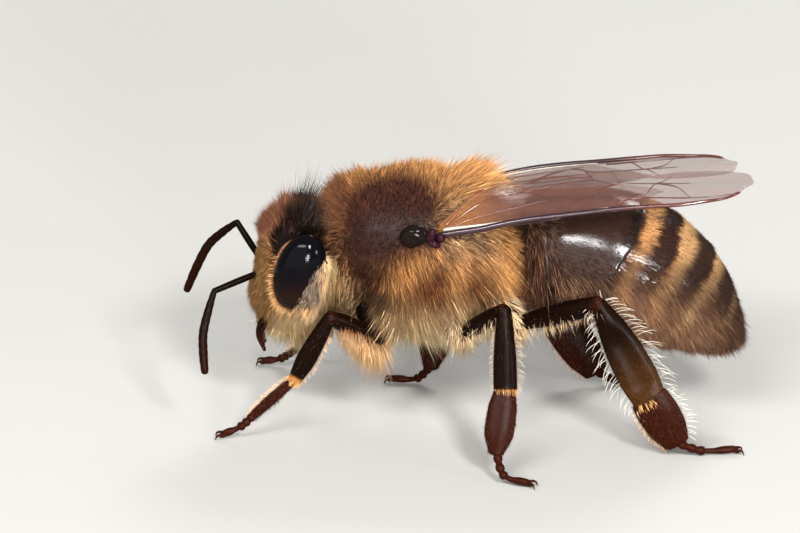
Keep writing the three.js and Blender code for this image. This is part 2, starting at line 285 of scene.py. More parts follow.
class Heap:
    """Triangles gathered for one piece: corners, faces, unwrap places by face corner, and tints."""

    def __init__(self):
        self.points, self.faces, self.unwrap, self.tint = [], [], [], []
        self.count = 0

    def add(self, points, faces, unwrap, tint):
        """Adds corners, faces numbered from these corners' first, and the rest; tint may be one colour."""
        self.points.append(points)
        self.faces.append(faces + self.count)
        self.unwrap.append(unwrap)
        self.tint.append(np.broadcast_to(tint, (len(points), 3)))
        self.count += len(points)

    def piece(self, name, material, slot, replaces=()):
        """Makes the object of all that was gathered and hands it to the frame."""
        points, faces = np.vstack(self.points), np.vstack(self.faces)
        mesh = bpy.data.meshes.new(name)
        mesh.vertices.add(len(points))
        mesh.vertices.foreach_set("co", ((points + HOME) * MM).astype(np.float32).ravel())
        mesh.loops.add(faces.size)
        mesh.loops.foreach_set("vertex_index", faces.astype(np.int32).ravel())
        mesh.polygons.add(len(faces))
        mesh.polygons.foreach_set("loop_start", np.arange(0, faces.size, 3, dtype=np.int32))
        mesh.polygons.foreach_set("use_smooth", np.ones(len(faces), bool))
        layer = mesh.uv_layers.new(name="OFBake")
        layer.data.foreach_set("uv", np.vstack(self.unwrap).reshape(-1).astype(np.float32))
        tint = np.ones((len(points), 4), np.float32)
        tint[:, :3] = np.clip(np.vstack(self.tint), 0, 1)
        mesh.color_attributes.new("Tint", "FLOAT_COLOR", "POINT").data.foreach_set("color", tint.ravel())
        mesh.update(calc_edges=True)
        mesh.materials.append(material)
        piece = bpy.data.objects.new(name, mesh)
        bpy.context.collection.objects.link(piece)
        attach(piece, "root")
        if replaces:
            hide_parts(*replaces)


def grid_faces(around, rows):
    """Faces of a closed grid with one corner at each pole: a fan, rows of split squares and a fan.

    Returns the faces and, for each of their corners, its turn and way.
    """
    i = np.arange(around)
    j = (i + 1) % around

    def ring(row):
        """The number of the first corner in a row; the far pole counts as a row."""
        return 1 + (row - 1) * around

    def spot(*corners):
        """The places of a face's corners, each given as its turn and row in steps."""
        return np.stack([np.stack([turn + 0.0 * i, row + 0.0 * i], -1) for turn, row in corners], 1)

    faces = [np.stack([0 * i, ring(1) + j, ring(1) + i], -1)]
    spots = [spot((i + 0.5, 0), (i + 1, 1), (i, 1))]
    for row in range(1, rows - 1):
        a, b = ring(row) + i, ring(row) + j
        c, d = ring(row + 1) + i, ring(row + 1) + j
        faces += [np.stack([a, b, d], -1), np.stack([a, d, c], -1)]
        spots += [
            spot((i, row), (i + 1, row), (i + 1, row + 1)),
            spot((i, row), (i + 1, row + 1), (i, row + 1)),
        ]
    faces.append(np.stack([0 * i + ring(rows), ring(rows - 1) + i, ring(rows - 1) + j], -1))
    spots.append(spot((i + 0.5, rows), (i, rows - 1), (i + 1, rows - 1)))
    return np.vstack(faces), np.vstack(spots) / (around, rows)


def add_form(heap, form, around, rows, tint, cell=WHOLE):
    """Puts a form into a heap. tint is a colour or a field of points, turn and way."""
    row, side = np.meshgrid(np.arange(1, rows) / rows, np.arange(around) / around, indexing="ij")
    turn = np.concatenate([[0.0], side.ravel(), [0.0]])
    way = np.concatenate([[0.0], row.ravel(), [1.0]])
    points = form.place(turn, way)
    faces, spots = grid_faces(around, rows)
    a, b, c = (points[faces[:, k]] for k in range(3))
    if (np.cross(a, b) * c).sum() < 0:
        faces, spots = faces[:, ::-1], spots[:, ::-1]
    unwrap = spots * cell[2:] + cell[:2]
    heap.add(points, faces, unwrap, tint(points, turn, way) if callable(tint) else tint)


def one_form(name, form, around, rows, tint, made, slot, nodes, cell=WHOLE):
    """A piece made of one form, in the named finish, in place of those nodes."""
    heap = Heap()
    add_form(heap, form, around, rows, tint, cell)
    heap.piece(name, finish(made), slot, nodes)


# ---- Materials ----


def add(tree, kind, values=None, **settings):
    """Adds a node, with its settings, and its inputs as numbers, colours or links from other sockets."""
    node = tree.nodes.new(kind)
    for key, value in settings.items():
        setattr(node, key, value)
    for key, value in (values or {}).items():
        if isinstance(value, bpy.types.NodeSocket):
            tree.links.new(value, node.inputs[key])
        else:
            node.inputs[key].default_value = value
    return node


def material(name, shader, colour=None, bump=None):
    """A Principled material. colour and bump are functions that build nodes and return a socket."""
    made = bpy.data.materials.new(name)
    made.use_nodes = True
    tree = made.node_tree
    surface = tree.nodes["Principled BSDF"]
    for key, value in shader.items():
        surface.inputs[key].default_value = value
    if colour:
        tree.links.new(colour(tree), surface.inputs["Base Color"])
    if bump:
        tree.links.new(bump(tree), surface.inputs["Normal"])
    return made


def object_place(tree):
    """The socket of the place in the object's own metres."""
    return add(tree, "ShaderNodeTexCoord").outputs["Object"]


def mottled_tint(per_mm, dark, light, detail=3.0):
    """The Tint attribute times a noise from dark to light, with that many mottles to the millimetre."""

    def build(tree):
        tint = add(tree, "ShaderNodeAttribute", attribute_name="Tint").outputs["Color"]
        values = {"Vector": object_place(tree), "Scale": per_mm / MM, "Detail": detail, "Roughness": 0.6}
        cloud = add(tree, "ShaderNodeTexNoise", values).outputs["Fac"]
        values = {"Value": cloud, "From Min": 0.3, "From Max": 0.7, "To Min": dark, "To Max": light}
        level = add(tree, "ShaderNodeMapRange", values).outputs["Result"]
        gain = add(tree, "ShaderNodeMix", {"Factor": 1.0}, data_type="RGBA", blend_type="MULTIPLY")
        tree.links.new(tint, gain.inputs[6])
        tree.links.new(level, gain.inputs[7])
        return gain.outputs[2]

    return build


def noise_bump(per_mm, strength, distance, detail=4.0, stretch=(1, 1, 1)):
    """Small dents from a noise, that many to the millimetre, their depth in millimetres."""

    def build(tree):
        values = {"Vector": object_place(tree), "Scale": stretch}
        place = add(tree, "ShaderNodeMapping", values).outputs["Vector"]
        values = {"Vector": place, "Scale": per_mm / MM, "Detail": detail, "Roughness": 0.65}
        height = add(tree, "ShaderNodeTexNoise", values).outputs["Fac"]
        values = {"Height": height, "Strength": strength, "Distance": distance * MM}
        return add(tree, "ShaderNodeBump", values).outputs["Normal"]

    return build


def facet_bump(size, strength, distance):
    """Domed facets, packed by a Voronoi pattern with cells of that size in millimetres."""

    def build(tree):
        values = {"Vector": object_place(tree), "Scale": 1 / (size * MM), "Randomness": 0.25}
        cells = add(tree, "ShaderNodeTexVoronoi", values).outputs["Distance"]
        values = {"Height": cells, "Strength": strength, "Distance": distance * MM}
        return add(tree, "ShaderNodeBump", values, invert=True).outputs["Normal"]

    return build


MADE = {}


def finish(name):
    """The named finish, made once."""
    if name not in MADE:
        MADE[name] = FINISHES[name]()
    return MADE[name]


def finish_skin():
    # Cuticle under fur: dark, a little rough from hair pits 0.03 mm apart, so the light shows its broad form.
    shader = {"Roughness": 0.3, "Specular IOR Level": 0.12, "IOR": 1.45}
    return material("cuticle_pitted", shader, mottled_tint(9, 0.65, 1.25), noise_bump(30, 0.5, 0.02))


def finish_polished():
    # Bald cuticle: smooth waxed chitin, nearly black, with a sharp pale shine.
    shader = {"Roughness": 0.2, "Specular IOR Level": 0.08, "IOR": 1.4}
    return material("cuticle_waxed", shader, mottled_tint(7, 0.7, 1.2), noise_bump(22, 0.25, 0.015))


def finish_scale():
    # Wing scale: a thick black-brown knob of chitin, polished like lacquer.
    shader = {"Roughness": 0.1, "Specular IOR Level": 0.07, "IOR": 1.4}
    return material("cuticle_scale", shader, mottled_tint(7, 0.6, 1.3))


def finish_ring():
    # Abdomen plates: smooth thick chitin, dark brown, whose bare back throws a long silky shine.
    shader = {"Roughness": 0.15, "Specular IOR Level": 0.4, "IOR": 1.5}
    return material("cuticle_ring", shader, mottled_tint(7, 0.7, 1.2), noise_bump(22, 0.2, 0.015))


def finish_leg():
    # Leg cuticle: brown chitin with hair pits 0.04 mm apart, so that its shine is broken up.
    shader = {"Roughness": 0.15, "Specular IOR Level": 0.06, "IOR": 1.3}
    return material("cuticle_leg", shader, mottled_tint(12, 0.6, 1.3), noise_bump(26, 0.3, 0.02))


def finish_eye():
    # Compound eye: a black lens mosaic; the facets are drawn at 0.05 mm, twice the real size, to show.
    shader = {"Roughness": 0.06, "Specular IOR Level": 0.1, "IOR": 1.36}
    return material("eye_facets", shader, mottled_tint(2.5, 0.85, 1.15), facet_bump(0.05, 0.18, 0.006))


def finish_hair():
    # Plumose hair: soft branched chitin, dull, with no hard shine of its own, mottled along each hair.
    shader = {"Roughness": 0.65, "Specular IOR Level": 0.08, "IOR": 1.55}
    return material("hair_plumose", shader, mottled_tint(26, 0.82, 1.15, 2.0))


def finish_bristle():
    # Bristles: glassy stiff hair, which glints white in the light.
    shader = {"Roughness": 0.35, "Specular IOR Level": 0.35, "IOR": 1.55}
    return material("hair_bristle", shader, mottled_tint(30, 0.85, 1.15, 2.0))


def membrane(name, alpha):
    # Wing membrane: clear dry chitin film, faintly smoky, with a silky shine broken by pleats 0.1 mm apart.
    shader = {"Roughness": 0.2, "Specular IOR Level": 0.4, "IOR": 1.56, "Alpha": alpha}
    pleats = noise_bump(9, 0.35, 0.02, 3.0, (1, 3, 1))
    return material(name, shader, mottled_tint(3.5, 0.85, 1.15), pleats)


def finish_fore_membrane():
    # Fore wing: two layers of film, the smokier of the wings.
    return membrane("wing_film_front", 0.33)


def finish_hind_membrane():
    # Hind wing: thinner and clearer.
    return membrane("wing_film_rear", 0.24)


def finish_vein():
    # Wing veins: hollow tubes of brown chitin, glossy along their ridge.
    shader = {"Roughness": 0.16, "Specular IOR Level": 0.5, "IOR": 1.55}
    return material("wing_vein", shader, mottled_tint(9, 0.8, 1.25))


def finish_floor():
    # Studio paper: plain, pale and matt, with a barely seen tooth.
    paper = (*bpy.context.scene.bee_studio.paper, 1.0)
    shader = {"Roughness": 0.9, "Specular IOR Level": 0.1, "Base Color": paper}
    return material("studio_paper", shader, None, noise_bump(4, 0.1, 0.02))


FINISHES = {
    "skin": finish_skin,
    "polished": finish_polished,
    "ring": finish_ring,
    "scale": finish_scale,
    "leg": finish_leg,
    "eye": finish_eye,
    "hair": finish_hair,
    "bristle": finish_bristle,
    "fore_membrane": finish_fore_membrane,
    "hind_membrane": finish_hind_membrane,
    "vein": finish_vein,
    "floor": finish_floor,
}


# ---- Hair: tapered three-sided strands, grown from a form ----


def strands(root, aim, length, width, sag, colours, unwrap, rings):
    """Tapered hairs as arrays. For s from 0 to 1 a hair's line is root + length * (aim * s + sag * s^2).

    Each ring is a triangle round that line, its radius width / 2 * (1 - 0.75 s), and the hair ends in
    a point. The root is closed by one face. colours are the root's and the tip's.
    """
    count = len(root)
    s = np.linspace(0, 1, rings + 1)
    steps = s[None, :, None]
    line = root[:, None] + (aim[:, None] * steps + sag[:, None] * steps**2) * length[:, None, None]
    slope = unit(aim[:, None] + 2 * sag[:, None] * steps[:, :-1])
    helper = np.where(np.abs(aim[:, 2:]) > 0.8, (1.0, 0.0, 0.0), (0.0, 0.0, 1.0))
    side = unit(np.cross(slope, helper[:, None]))
    other = np.cross(slope, side)
    angle = np.arange(3) * 2 * np.pi / 3
    radius = (width[:, None] / 2 * (1 - 0.75 * s[:-1]))[..., None, None]
    spokes = side[:, :, None] * np.cos(angle)[:, None] + other[:, :, None] * np.sin(angle)[:, None]
    body = line[:, :-1, None] + spokes * radius
    points = np.concatenate([body.reshape(count, rings * 3, 3), line[:, -1:]], axis=1)
    k = np.arange(3)
    n = (k + 1) % 3
    pattern = [np.array([[0, 2, 1]])]
    for ring in range(rings - 1):
        a, b = 3 * ring + k, 3 * ring + n
        pattern += [np.stack([a, b, b + 3], -1), np.stack([a, b + 3, a + 3], -1)]
    pattern.append(np.stack([3 * (rings - 1) + k, 3 * (rings - 1) + n, np.full(3, 3 * rings)], -1))
    pattern = np.vstack(pattern)
    size = rings * 3 + 1
    faces = (pattern[None] + (np.arange(count) * size)[:, None, None]).reshape(-1, 3)
    share = np.append(np.repeat(s[:-1], 3), 1.0)
    tint = mix(colours[0][:, None], colours[1][:, None], np.broadcast_to(share**0.8, (count, size)))
    spot = np.stack([np.append(np.tile((k / 3) - 0.33, rings), 0.0), share - 0.5], -1) * TUFT_PATCH
    corner = np.clip(unwrap, TUFT_PATCH, 1 - TUFT_PATCH)[:, None] + spot
    return points.reshape(-1, 3), faces, corner.reshape(-1, 2)[faces], tint.reshape(-1, 3)


def gather(root, count, rng):
    """For each root, the number of its nearest guide among `count` roots drawn at random."""
    guides = rng.choice(len(root), max(1, count), replace=False)
    centres = root[guides]
    squares = (centres**2).sum(-1)
    nearest = [
        guides[np.argmin(squares - 2 * part @ centres.T, axis=1)]
        for part in np.array_split(root, max(1, len(root) // 4000))
    ]
    return np.concatenate(nearest)


def grow(form, count, style, seed, cell=WHOLE, rings=2, clump=0.35, flock=14, loose=0.14, painted_shade=1.0):
    """Hairs on a form. Roots are drawn by area times the style's density.

    style(points, normal, turn, way) returns a dict: density, length, width, lift (radians off the
    skin), lie (a flow direction), sag, root and tip colours, and vary (spread of the shades).
    clump is how far the tips of a flock of hairs lean to their guide's, and loose how far they stray.
    The last argument makes the whole growth darker: painted shade for the depth of the fur under the long
    hair.
    """
    rng = np.random.default_rng(seed)
    tries = 6 * count
    turn, way = rng.random(tries), rng.uniform(0.01, 0.99, tries)
    points = form.place(turn, way)
    normal, area = form.outward(turn, way)
    chance = area * np.clip(style(points, normal, turn, way)["density"], 0, None)
    count = min(count, int((chance > 1e-9).sum()))
    keep = rng.choice(tries, count, replace=False, p=chance / chance.sum())
    keep = keep[np.argsort(turn[keep])]
    points, normal, turn, way = points[keep], normal[keep], turn[keep], way[keep]
    hair = style(points, normal, turn, way)
    lie = hair["lie"] - normal * (hair["lie"] * normal).sum(-1, keepdims=True)
    lift = (hair["lift"] + 0.16 * rng.standard_normal(count))[:, None]
    aim = unit(lie) * np.cos(lift) + normal * np.sin(lift)
    stray = 2 * loose * noise_vectors(points, 0.35, seed % 17) + loose * rng.standard_normal((count, 3))
    aim = unit(aim + stray)
    low = np.clip(LEAST_RISE - (aim * normal).sum(-1, keepdims=True), 0, None)
    aim = unit(aim + normal * low)
    length = hair["length"] * np.exp(0.2 * rng.standard_normal(count))
    if clump:
        guide = gather(points, count // flock, rng)
        tip = points + aim * length[:, None]
        tip = tip + clump * (tip[guide] - tip) * rng.uniform(0.5, 1.0, (count, 1))
        aim = unit(tip - points)
    room = (CEILING - points[:, 2]) / np.maximum(aim[:, 2] + np.maximum(hair["sag"][:, 2], 0), 1e-6)
    length = np.where(aim[:, 2] > 0, np.minimum(length, np.maximum(room, 0.05)), length)
    spread = hair["vary"] * rng.standard_normal(count) + 0.14 * noise(points, 0.5, 3.1)
    shade = painted_shade * np.exp(spread)[:, None]
    colours = (hair["root"] * shade, hair["tip"] * shade)
    unwrap = np.stack([turn, way], -1) * cell[2:] + np.array(cell[:2])
    root = points - normal * ROOT_DEPTH
    return strands(root, aim, length, hair["width"] * np.ones(count), hair["sag"], colours, unwrap, rings)


def coat_pieces(name, grown, parts, rings=1):
    """Shares the hairs out among that many pieces of one coat, each a sector round the body."""
    points, faces, unwrap, tint = grown
    size = rings * 3 + 1
    hair_faces = faces.reshape(len(points) // size, -1, 3)
    unwrap = unwrap.reshape(len(hair_faces), -1, 3, 2)
    for i, share in enumerate(np.array_split(np.arange(len(hair_faces)), parts)):
        heap = Heap()
        own = slice(share[0] * size, (share[-1] + 1) * size)
        own_faces = hair_faces[share].reshape(-1, 3) - share[0] * size
        heap.add(points[own], own_faces, unwrap[share].reshape(-1, 3, 2), tint[own])
        heap.piece(f"{name}_{i + 1}", finish("hair"), "coat")


# ---- Head ----

HEAD = {"centre": (-5.78, 4.56), "tilt": math.radians(9), "cap": 0.26}
HEAD_STATIONS = [  # along, wide, rear, front
    (-1.22, 0.9, 0.45, 0.62),
    (-0.85, 1.36, 0.62, 0.84),
    (0.0, 1.62, 0.68, 0.9),
    (0.85, 1.28, 0.62, 0.86),
    (1.45, 0.72, 0.45, 0.6),
]
FACE_PLATE = (-6.75, 0, 3.95), (0.5, 0.62, 0.6)
BROW = (-6.6, 0, 4.95), (0.5, 0.7, 0.35)
SOCKET = (-6.68, 0.33, 4.4), (0.4, 0.16, 0.16)
BALD_CROWN = [((-5.6, 0.95, 5.85), (0.64, 0.48, 0.46)), ((-5.7, 1.1, 5.6), (0.6, 0.42, 0.45))]
OCCIPUT = (-5.2, 0, 5.9), (0.3, 0.8, 0.3)
RIM_DEPTH = 1.06  # where an eye's rim lies, in the eye's own half sizes
OCELLI = {"left": (-5.42, -0.34, 5.94), "right": (-5.42, 0.34, 5.94), "middle": (-5.78, 0.0, 6.0)}
MANDIBLE = [(-6.25, 0.62, 3.3), (-6.66, 0.6, 2.85), (-6.55, 0.3, 2.05)]
TONGUE = [(-6.1, 0, 2.95), (-5.9, 0, 2.42), (-5.2, 0, 2.62)]


def head_point(along):
    """The place on the head's line that far below its centre, negative above it."""
    x, z = HEAD["centre"]
    return (x - along * math.sin(HEAD["tilt"]), 0.0, z - along * math.cos(HEAD["tilt"]))


def eye_form(side, more=0.0):
    """The ellipsoid of one compound eye, larger all round by that much."""
    x, y, z = EYE["centre"]
    return Egg((x, side * y, z), np.array(EYE["half"]) + more, EYE["lean"])


def eye_depth(points):
    """How deep the points lie in the nearer eye: below 1 inside, above 1 outside."""
    return np.minimum(eye_form(LEFT).depth(points), eye_form(RIGHT).depth(points))


def eye_room(points, near=1.04):
    """0 within an eye and its rim, 1 clear of them."""
    return ramp(eye_depth(points), near, near + 0.04)


def gena_form(side):
    """The grey plate behind an eye, which laps over the eye's lower rear."""
    eye = eye_form(side)
    across, out, up = GENA["shift"]
    centre = eye.centre + eye.turned(np.array([(across, side * out, up)]), eye.lean)[0]
    return Egg(centre, GENA["half"], GENA["lean"])


def head_relief(points, turn, way):
    """Brow and face plate stand forward, the sockets of the feelers sink in, the eyes' rims rise."""
    out = 0.12 * blob(points, *FACE_PLATE) + 0.07 * blob(points, *BROW)
    for side, socket in zip((LEFT, RIGHT), mirrored(points, *SOCKET)):
        out -= 0.09 * socket
        out += 0.05 * np.exp(-(((eye_form(side).depth(points) - RIM_DEPTH) / 0.05) ** 2))
    return out


def head_form():
    """The head: a tilted loft from the crown down to the mouth."""
    stations = [(*head_point(along), wide, rear, front) for along, wide, rear, front in HEAD_STATIONS]
    return Loft(stations, (0, 1, 0), HEAD["cap"], head_relief)


def head_tint(points, turn, way):
    """Black above, brown below, with a pale rim round each eye."""
    c = bpy.context.scene.bee_colours
    tint = mix(c.shell, c.shell_brown, ramp(points[:, 2], 4.6, 3.2) * 0.7)
    return mix(tint, c.rim, np.exp(-(((eye_depth(points) - RIM_DEPTH) / 0.05) ** 2)) * 0.85)


def head_style(points, normal, turn, way):
    """Brown and upright on the crown, black behind it, tan on the face, cream on the cheeks and chin."""
    c, coat = bpy.context.scene.bee_colours, bpy.context.scene.bee_coat
    x, y, z = points.T
    count = len(points)
    crown = ramp(z, 5.0, 5.55)  # from the middle of the eyes up
    chin = ramp(z, 4.3, 3.6)  # below the eyes
    front = ramp(normal[:, 0], -0.1, -0.7)  # faces ahead
    rear = ramp(normal[:, 0], 0.1, 0.6)  # faces back
    cheek = np.maximum(chin, ramp(normal[:, 0], -0.15, 0.35) * ramp(z, 4.4, 3.8))
    rim = np.exp(-(((eye_depth(points) - 1) / 0.2) ** 2))  # round the eyes
    behind = x + 0.15 * noise(points, 0.3, 8.0)
    black = crown * ramp(behind, -6.12, -5.66)
    nape = ramp(behind, -5.2, -5.02) * ramp(z, 4.3, 4.8)
    crest = np.exp(-((y / 0.3) ** 4)) * ramp(x, -5.0, -5.3)  # the furred ridge between the bald spots
    bald = sum(sum(mirrored(points, *spot)) for spot in BALD_CROWN)

    bald = 0.99 * np.clip(2.6 * bald, 0, 1) * (1 - 0.9 * crest)
    density = eye_room(points, 1.1) * (1 - bald) * (1 + 0.6 * crown)
    density *= 1 - 0.4 * ramp(z, 3.2, 2.95)
    away = np.where((y < 0)[:, None], eye_form(LEFT).away(points), eye_form(RIGHT).away(points))
    lie = mix(flat(count, (-0.45, 0, -1)), flat(count, (0.15, 0, 1)), crown)
    lie = mix(lie, flat(count, (0.5, 0, -0.9)), rear * (1 - crown))
    lie = lie + 1.3 * (rim * (1 - crown) * (1 - rear))[:, None] * away
    length = 0.5 + 1.3 * crown + 1.2 * chin * (1 - 0.6 * front) + 0.5 * rear * (1 - crown)
    length *= coat.head_length * (1 - 0.62 * nape) * (1 - 0.62 * black * (1 - crest))
    length *= 1 + 1.0 * rear * ramp(z, 4.9, 4.3) * (1 - 0.8 * chin)
    length *= (1 - 0.4 * rim * (1 - crown)) * (1 - 0.45 * front * ramp(z, 4.6, 5.2))

    tip = mix(c.face_tip, c.cream_tip, np.maximum(chin * (1 - 0.85 * front), cheek * (1 - front)))
    patchy = np.clip(black + 0.5 * noise(points, 0.3, 5.5) * crown, 0, 1)
    tip = mix(tip, mix(c.crown_tip, c.crown_dark, patchy), crown)
    tip = mix(tip, c.collar_hair, nape)
    # Ahead-facing hair darkens a little toward the brow and more toward the chin; the darkening toward the
    # chin is painted shade.
    tip = mix(tip, c.face_root, (0.3 * ramp(z, 4.4, 5.1) + 0.6 * ramp(z, 4.4, 3.8)) * (1 - crown) * front)
    tip = mix(tip, c.collar_hair, 0.8 * ramp(normal[:, 0], -0.1, 0.35) * (1 - crown) * ramp(z, 4.1, 4.6))
    root = mix(c.face_root, c.cream_root, np.maximum(chin, 0.6 * cheek))
    return dict(
        density=density,
        length=length,
        width=coat.width * 0.6,
        lift=0.5 + 0.7 * crown - 0.1 * chin + 0.45 * rear * (1 - crown),
        lie=lie,
        sag=flat(count, (0, 0, -0.15)) * (1 - crown)[:, None],
        root=mix(root, c.crown_root, crown),
        tip=tip,
        vary=0.5,
    )


def gena_style(points, normal, turn, way):
    """Short grey hair behind the eye, lying down and forward along its edge, cream below and behind."""
    c, coat = bpy.context.scene.bee_colours, bpy.context.scene.bee_coat
    count = len(points)
    low = ramp(points[:, 2], 4.2, 3.8)
    rear = ramp(points[:, 0], -5.05, -4.8)
    cream = np.maximum(low, rear)
    return dict(
        density=0.35 + ramp(noise(points, 0.16, 2.0), -0.5, 0.4),
        length=0.2 + 0.25 * low + 0.15 * rear,
        width=coat.width * 0.45,
        lift=0.3,
        lie=flat(count, (-0.5, 0, -1)),
        sag=flat(count, (0, 0, -0.1)),
        root=mix(c.gena_root, c.cream_root, cream),
        tip=mix(c.gena_tip, c.cream_tip, cream),
        vary=0.35,
    )


def occiput_style(points, normal, turn, way):
    """Long dark bristles fanning up from behind the crown."""
    c = bpy.context.scene.bee_colours
    x, y = points[:, 0], points[:, 1]
    count = len(points)
    behind = ramp(x + 0.3 * np.abs(y), -5.45, -5.25)
    return dict(
        density=blob(points, *OCCIPUT) * eye_room(points) * behind,
        length=1.05 * np.ones(count),
        width=0.016,
        lift=1.15,
        lie=flat(count, (0.3, 0, 1)) + np.stack([0 * y, 0.4 * y, 0 * y], -1),
        sag=flat(count, (0.08, 0, 0)),
        root=flat(count, c.crown_root),
        tip=flat(count, c.crown_dark),
        vary=0.2,
    )


def rim_bristles(side, rng):
    """Short gold bristles that fan out from the lower front rim of an eye, as root points and aims."""
    count = 130
    angle = rng.triangular(-0.3, 1.3, 2.05, count)  # from ahead round to below
    eye = eye_form(side, 0.02)
    x, z = -np.cos(angle) * eye.half[0] * 0.97, -np.sin(angle) * eye.half[2] * 0.97
    rise = rng.uniform(0.15, 0.3, count)
    local = np.stack([x * (1 - rise * 0.06), side * eye.half[1] * rise, z * (1 - rise * 0.06)], -1)
    root = eye.centre + eye.turned(local, eye.lean)
    stray = 0.12 * rng.standard_normal((count, 3))
    return root, unit(eye.away(root) * (1, 0.35, 1) + (0, side * 0.45, -0.1) + stray)


# ---- Thorax, neck and waist ----

THORAX_STATIONS = [  # x, z, wide, high, low
    (-4.2, 4.8, 1.05, 1.36, 1.1),
    (-3.5, 5.0, 1.72, 1.93, 1.78),
    (-2.4, 5.05, 1.93, 2.08, 2.02),
    (-1.2, 5.0, 1.72, 1.78, 1.82),
    (-0.35, 4.75, 1.05, 1.05, 1.15),
]
SCUTELLUM = (-1.15, 0, 6.75), (0.4, 0.75, 0.6)
SHIELD_DISC = (-3.0, 1.12, 6.55), (1.15, 0.9, 1.0)
SHIELD_FRONT = (-3.75, 1.4, 5.75), (0.6, 0.6, 0.75)
WING_ROOT = (-0.95, 1.3, 6.25), (0.85, 0.72, 0.6)
COLLAR_GAP = (-4.05, 1.25, 5.25), (0.3, 0.45, 0.62)  # the dark hollow behind the cheek
TEGULA = {"centre": (-2.4, 1.88, 6.08), "half": (0.4, 0.22, 0.33), "lean": -0.4}
TEGULA_ROOM = (-2.3, 1.8, 6.08), (0.34, 0.35, 0.26)
COXA_ROOM = (-3.38, 1.1, 3.45), (0.26, 0.5, 0.45)
HINGE_PLATES = [  # x, out, z, half length, half height
    (-1.93, 1.93, 6.12, 0.13, 0.22),
    (-1.84, 1.98, 5.88, 0.19, 0.1),
    (-1.66, 1.9, 6.03, 0.13, 0.14),
]
NECKS = {"neck": (-5.4, -4.2, 4.8, 0.45), "petiole": (-0.4, 1.1, 4.45, 0.3)}  # x from and to, z, half size


def midline(stations):
    """Stations on the body's middle plane, from x, z and the three half sizes."""
    return [(x, 0.0, z, wide, high, low) for x, z, wide, high, low in stations]


def thorax_relief(points, turn, way):
    """The rear shield swells, a groove parts it from the broad front shield, and the side plates sink."""
    x, y, z = np.moveaxis(points, -1, 0)
    out = 0.22 * blob(points, *SCUTELLUM)
    out -= 0.07 * ramp(z, 5.6, 6.2) * np.exp(-(((x + 1.62) / 0.12) ** 2))
    groove = np.exp(-(((z - 5.72 - 0.25 * (x + 2.6)) / 0.12) ** 2)) * ramp(np.abs(y), 1.1, 1.5)
    return out - 0.06 * groove


def neck_form(name):
    """The short stalk between head and thorax, or between thorax and abdomen."""
    start, end, z, size = NECKS[name]
    return bar([(start, 0, z), (end, 0, z)], [size] * 3, [size] * 3, (0, 1, 0))


def thorax_form():
    """The thorax: a level barrel."""
    return Loft(midline(THORAX_STATIONS), (0, 1, 0), 0.36, thorax_relief)


def shield(points):
    """The bald dark discs of the front shield, and the fainter patches on its front shoulders."""
    discs, fronts = mirrored(points, *SHIELD_DISC), mirrored(points, *SHIELD_FRONT)
    return np.clip(2.2 * np.maximum(*discs) + 0.4 * np.maximum(*fronts), 0, 1)


def wing_root(points):
    """The thorax under the wings, where the hair is short and swept back."""
    return np.clip(1.8 * sum(mirrored(points, *WING_ROOT)), 0, 1)


def thorax_tint(points, turn, way):
    """Brown, with the shield's dark discs."""
    c = bpy.context.scene.bee_colours
    return mix(c.shell_brown, c.shield, shield(points))


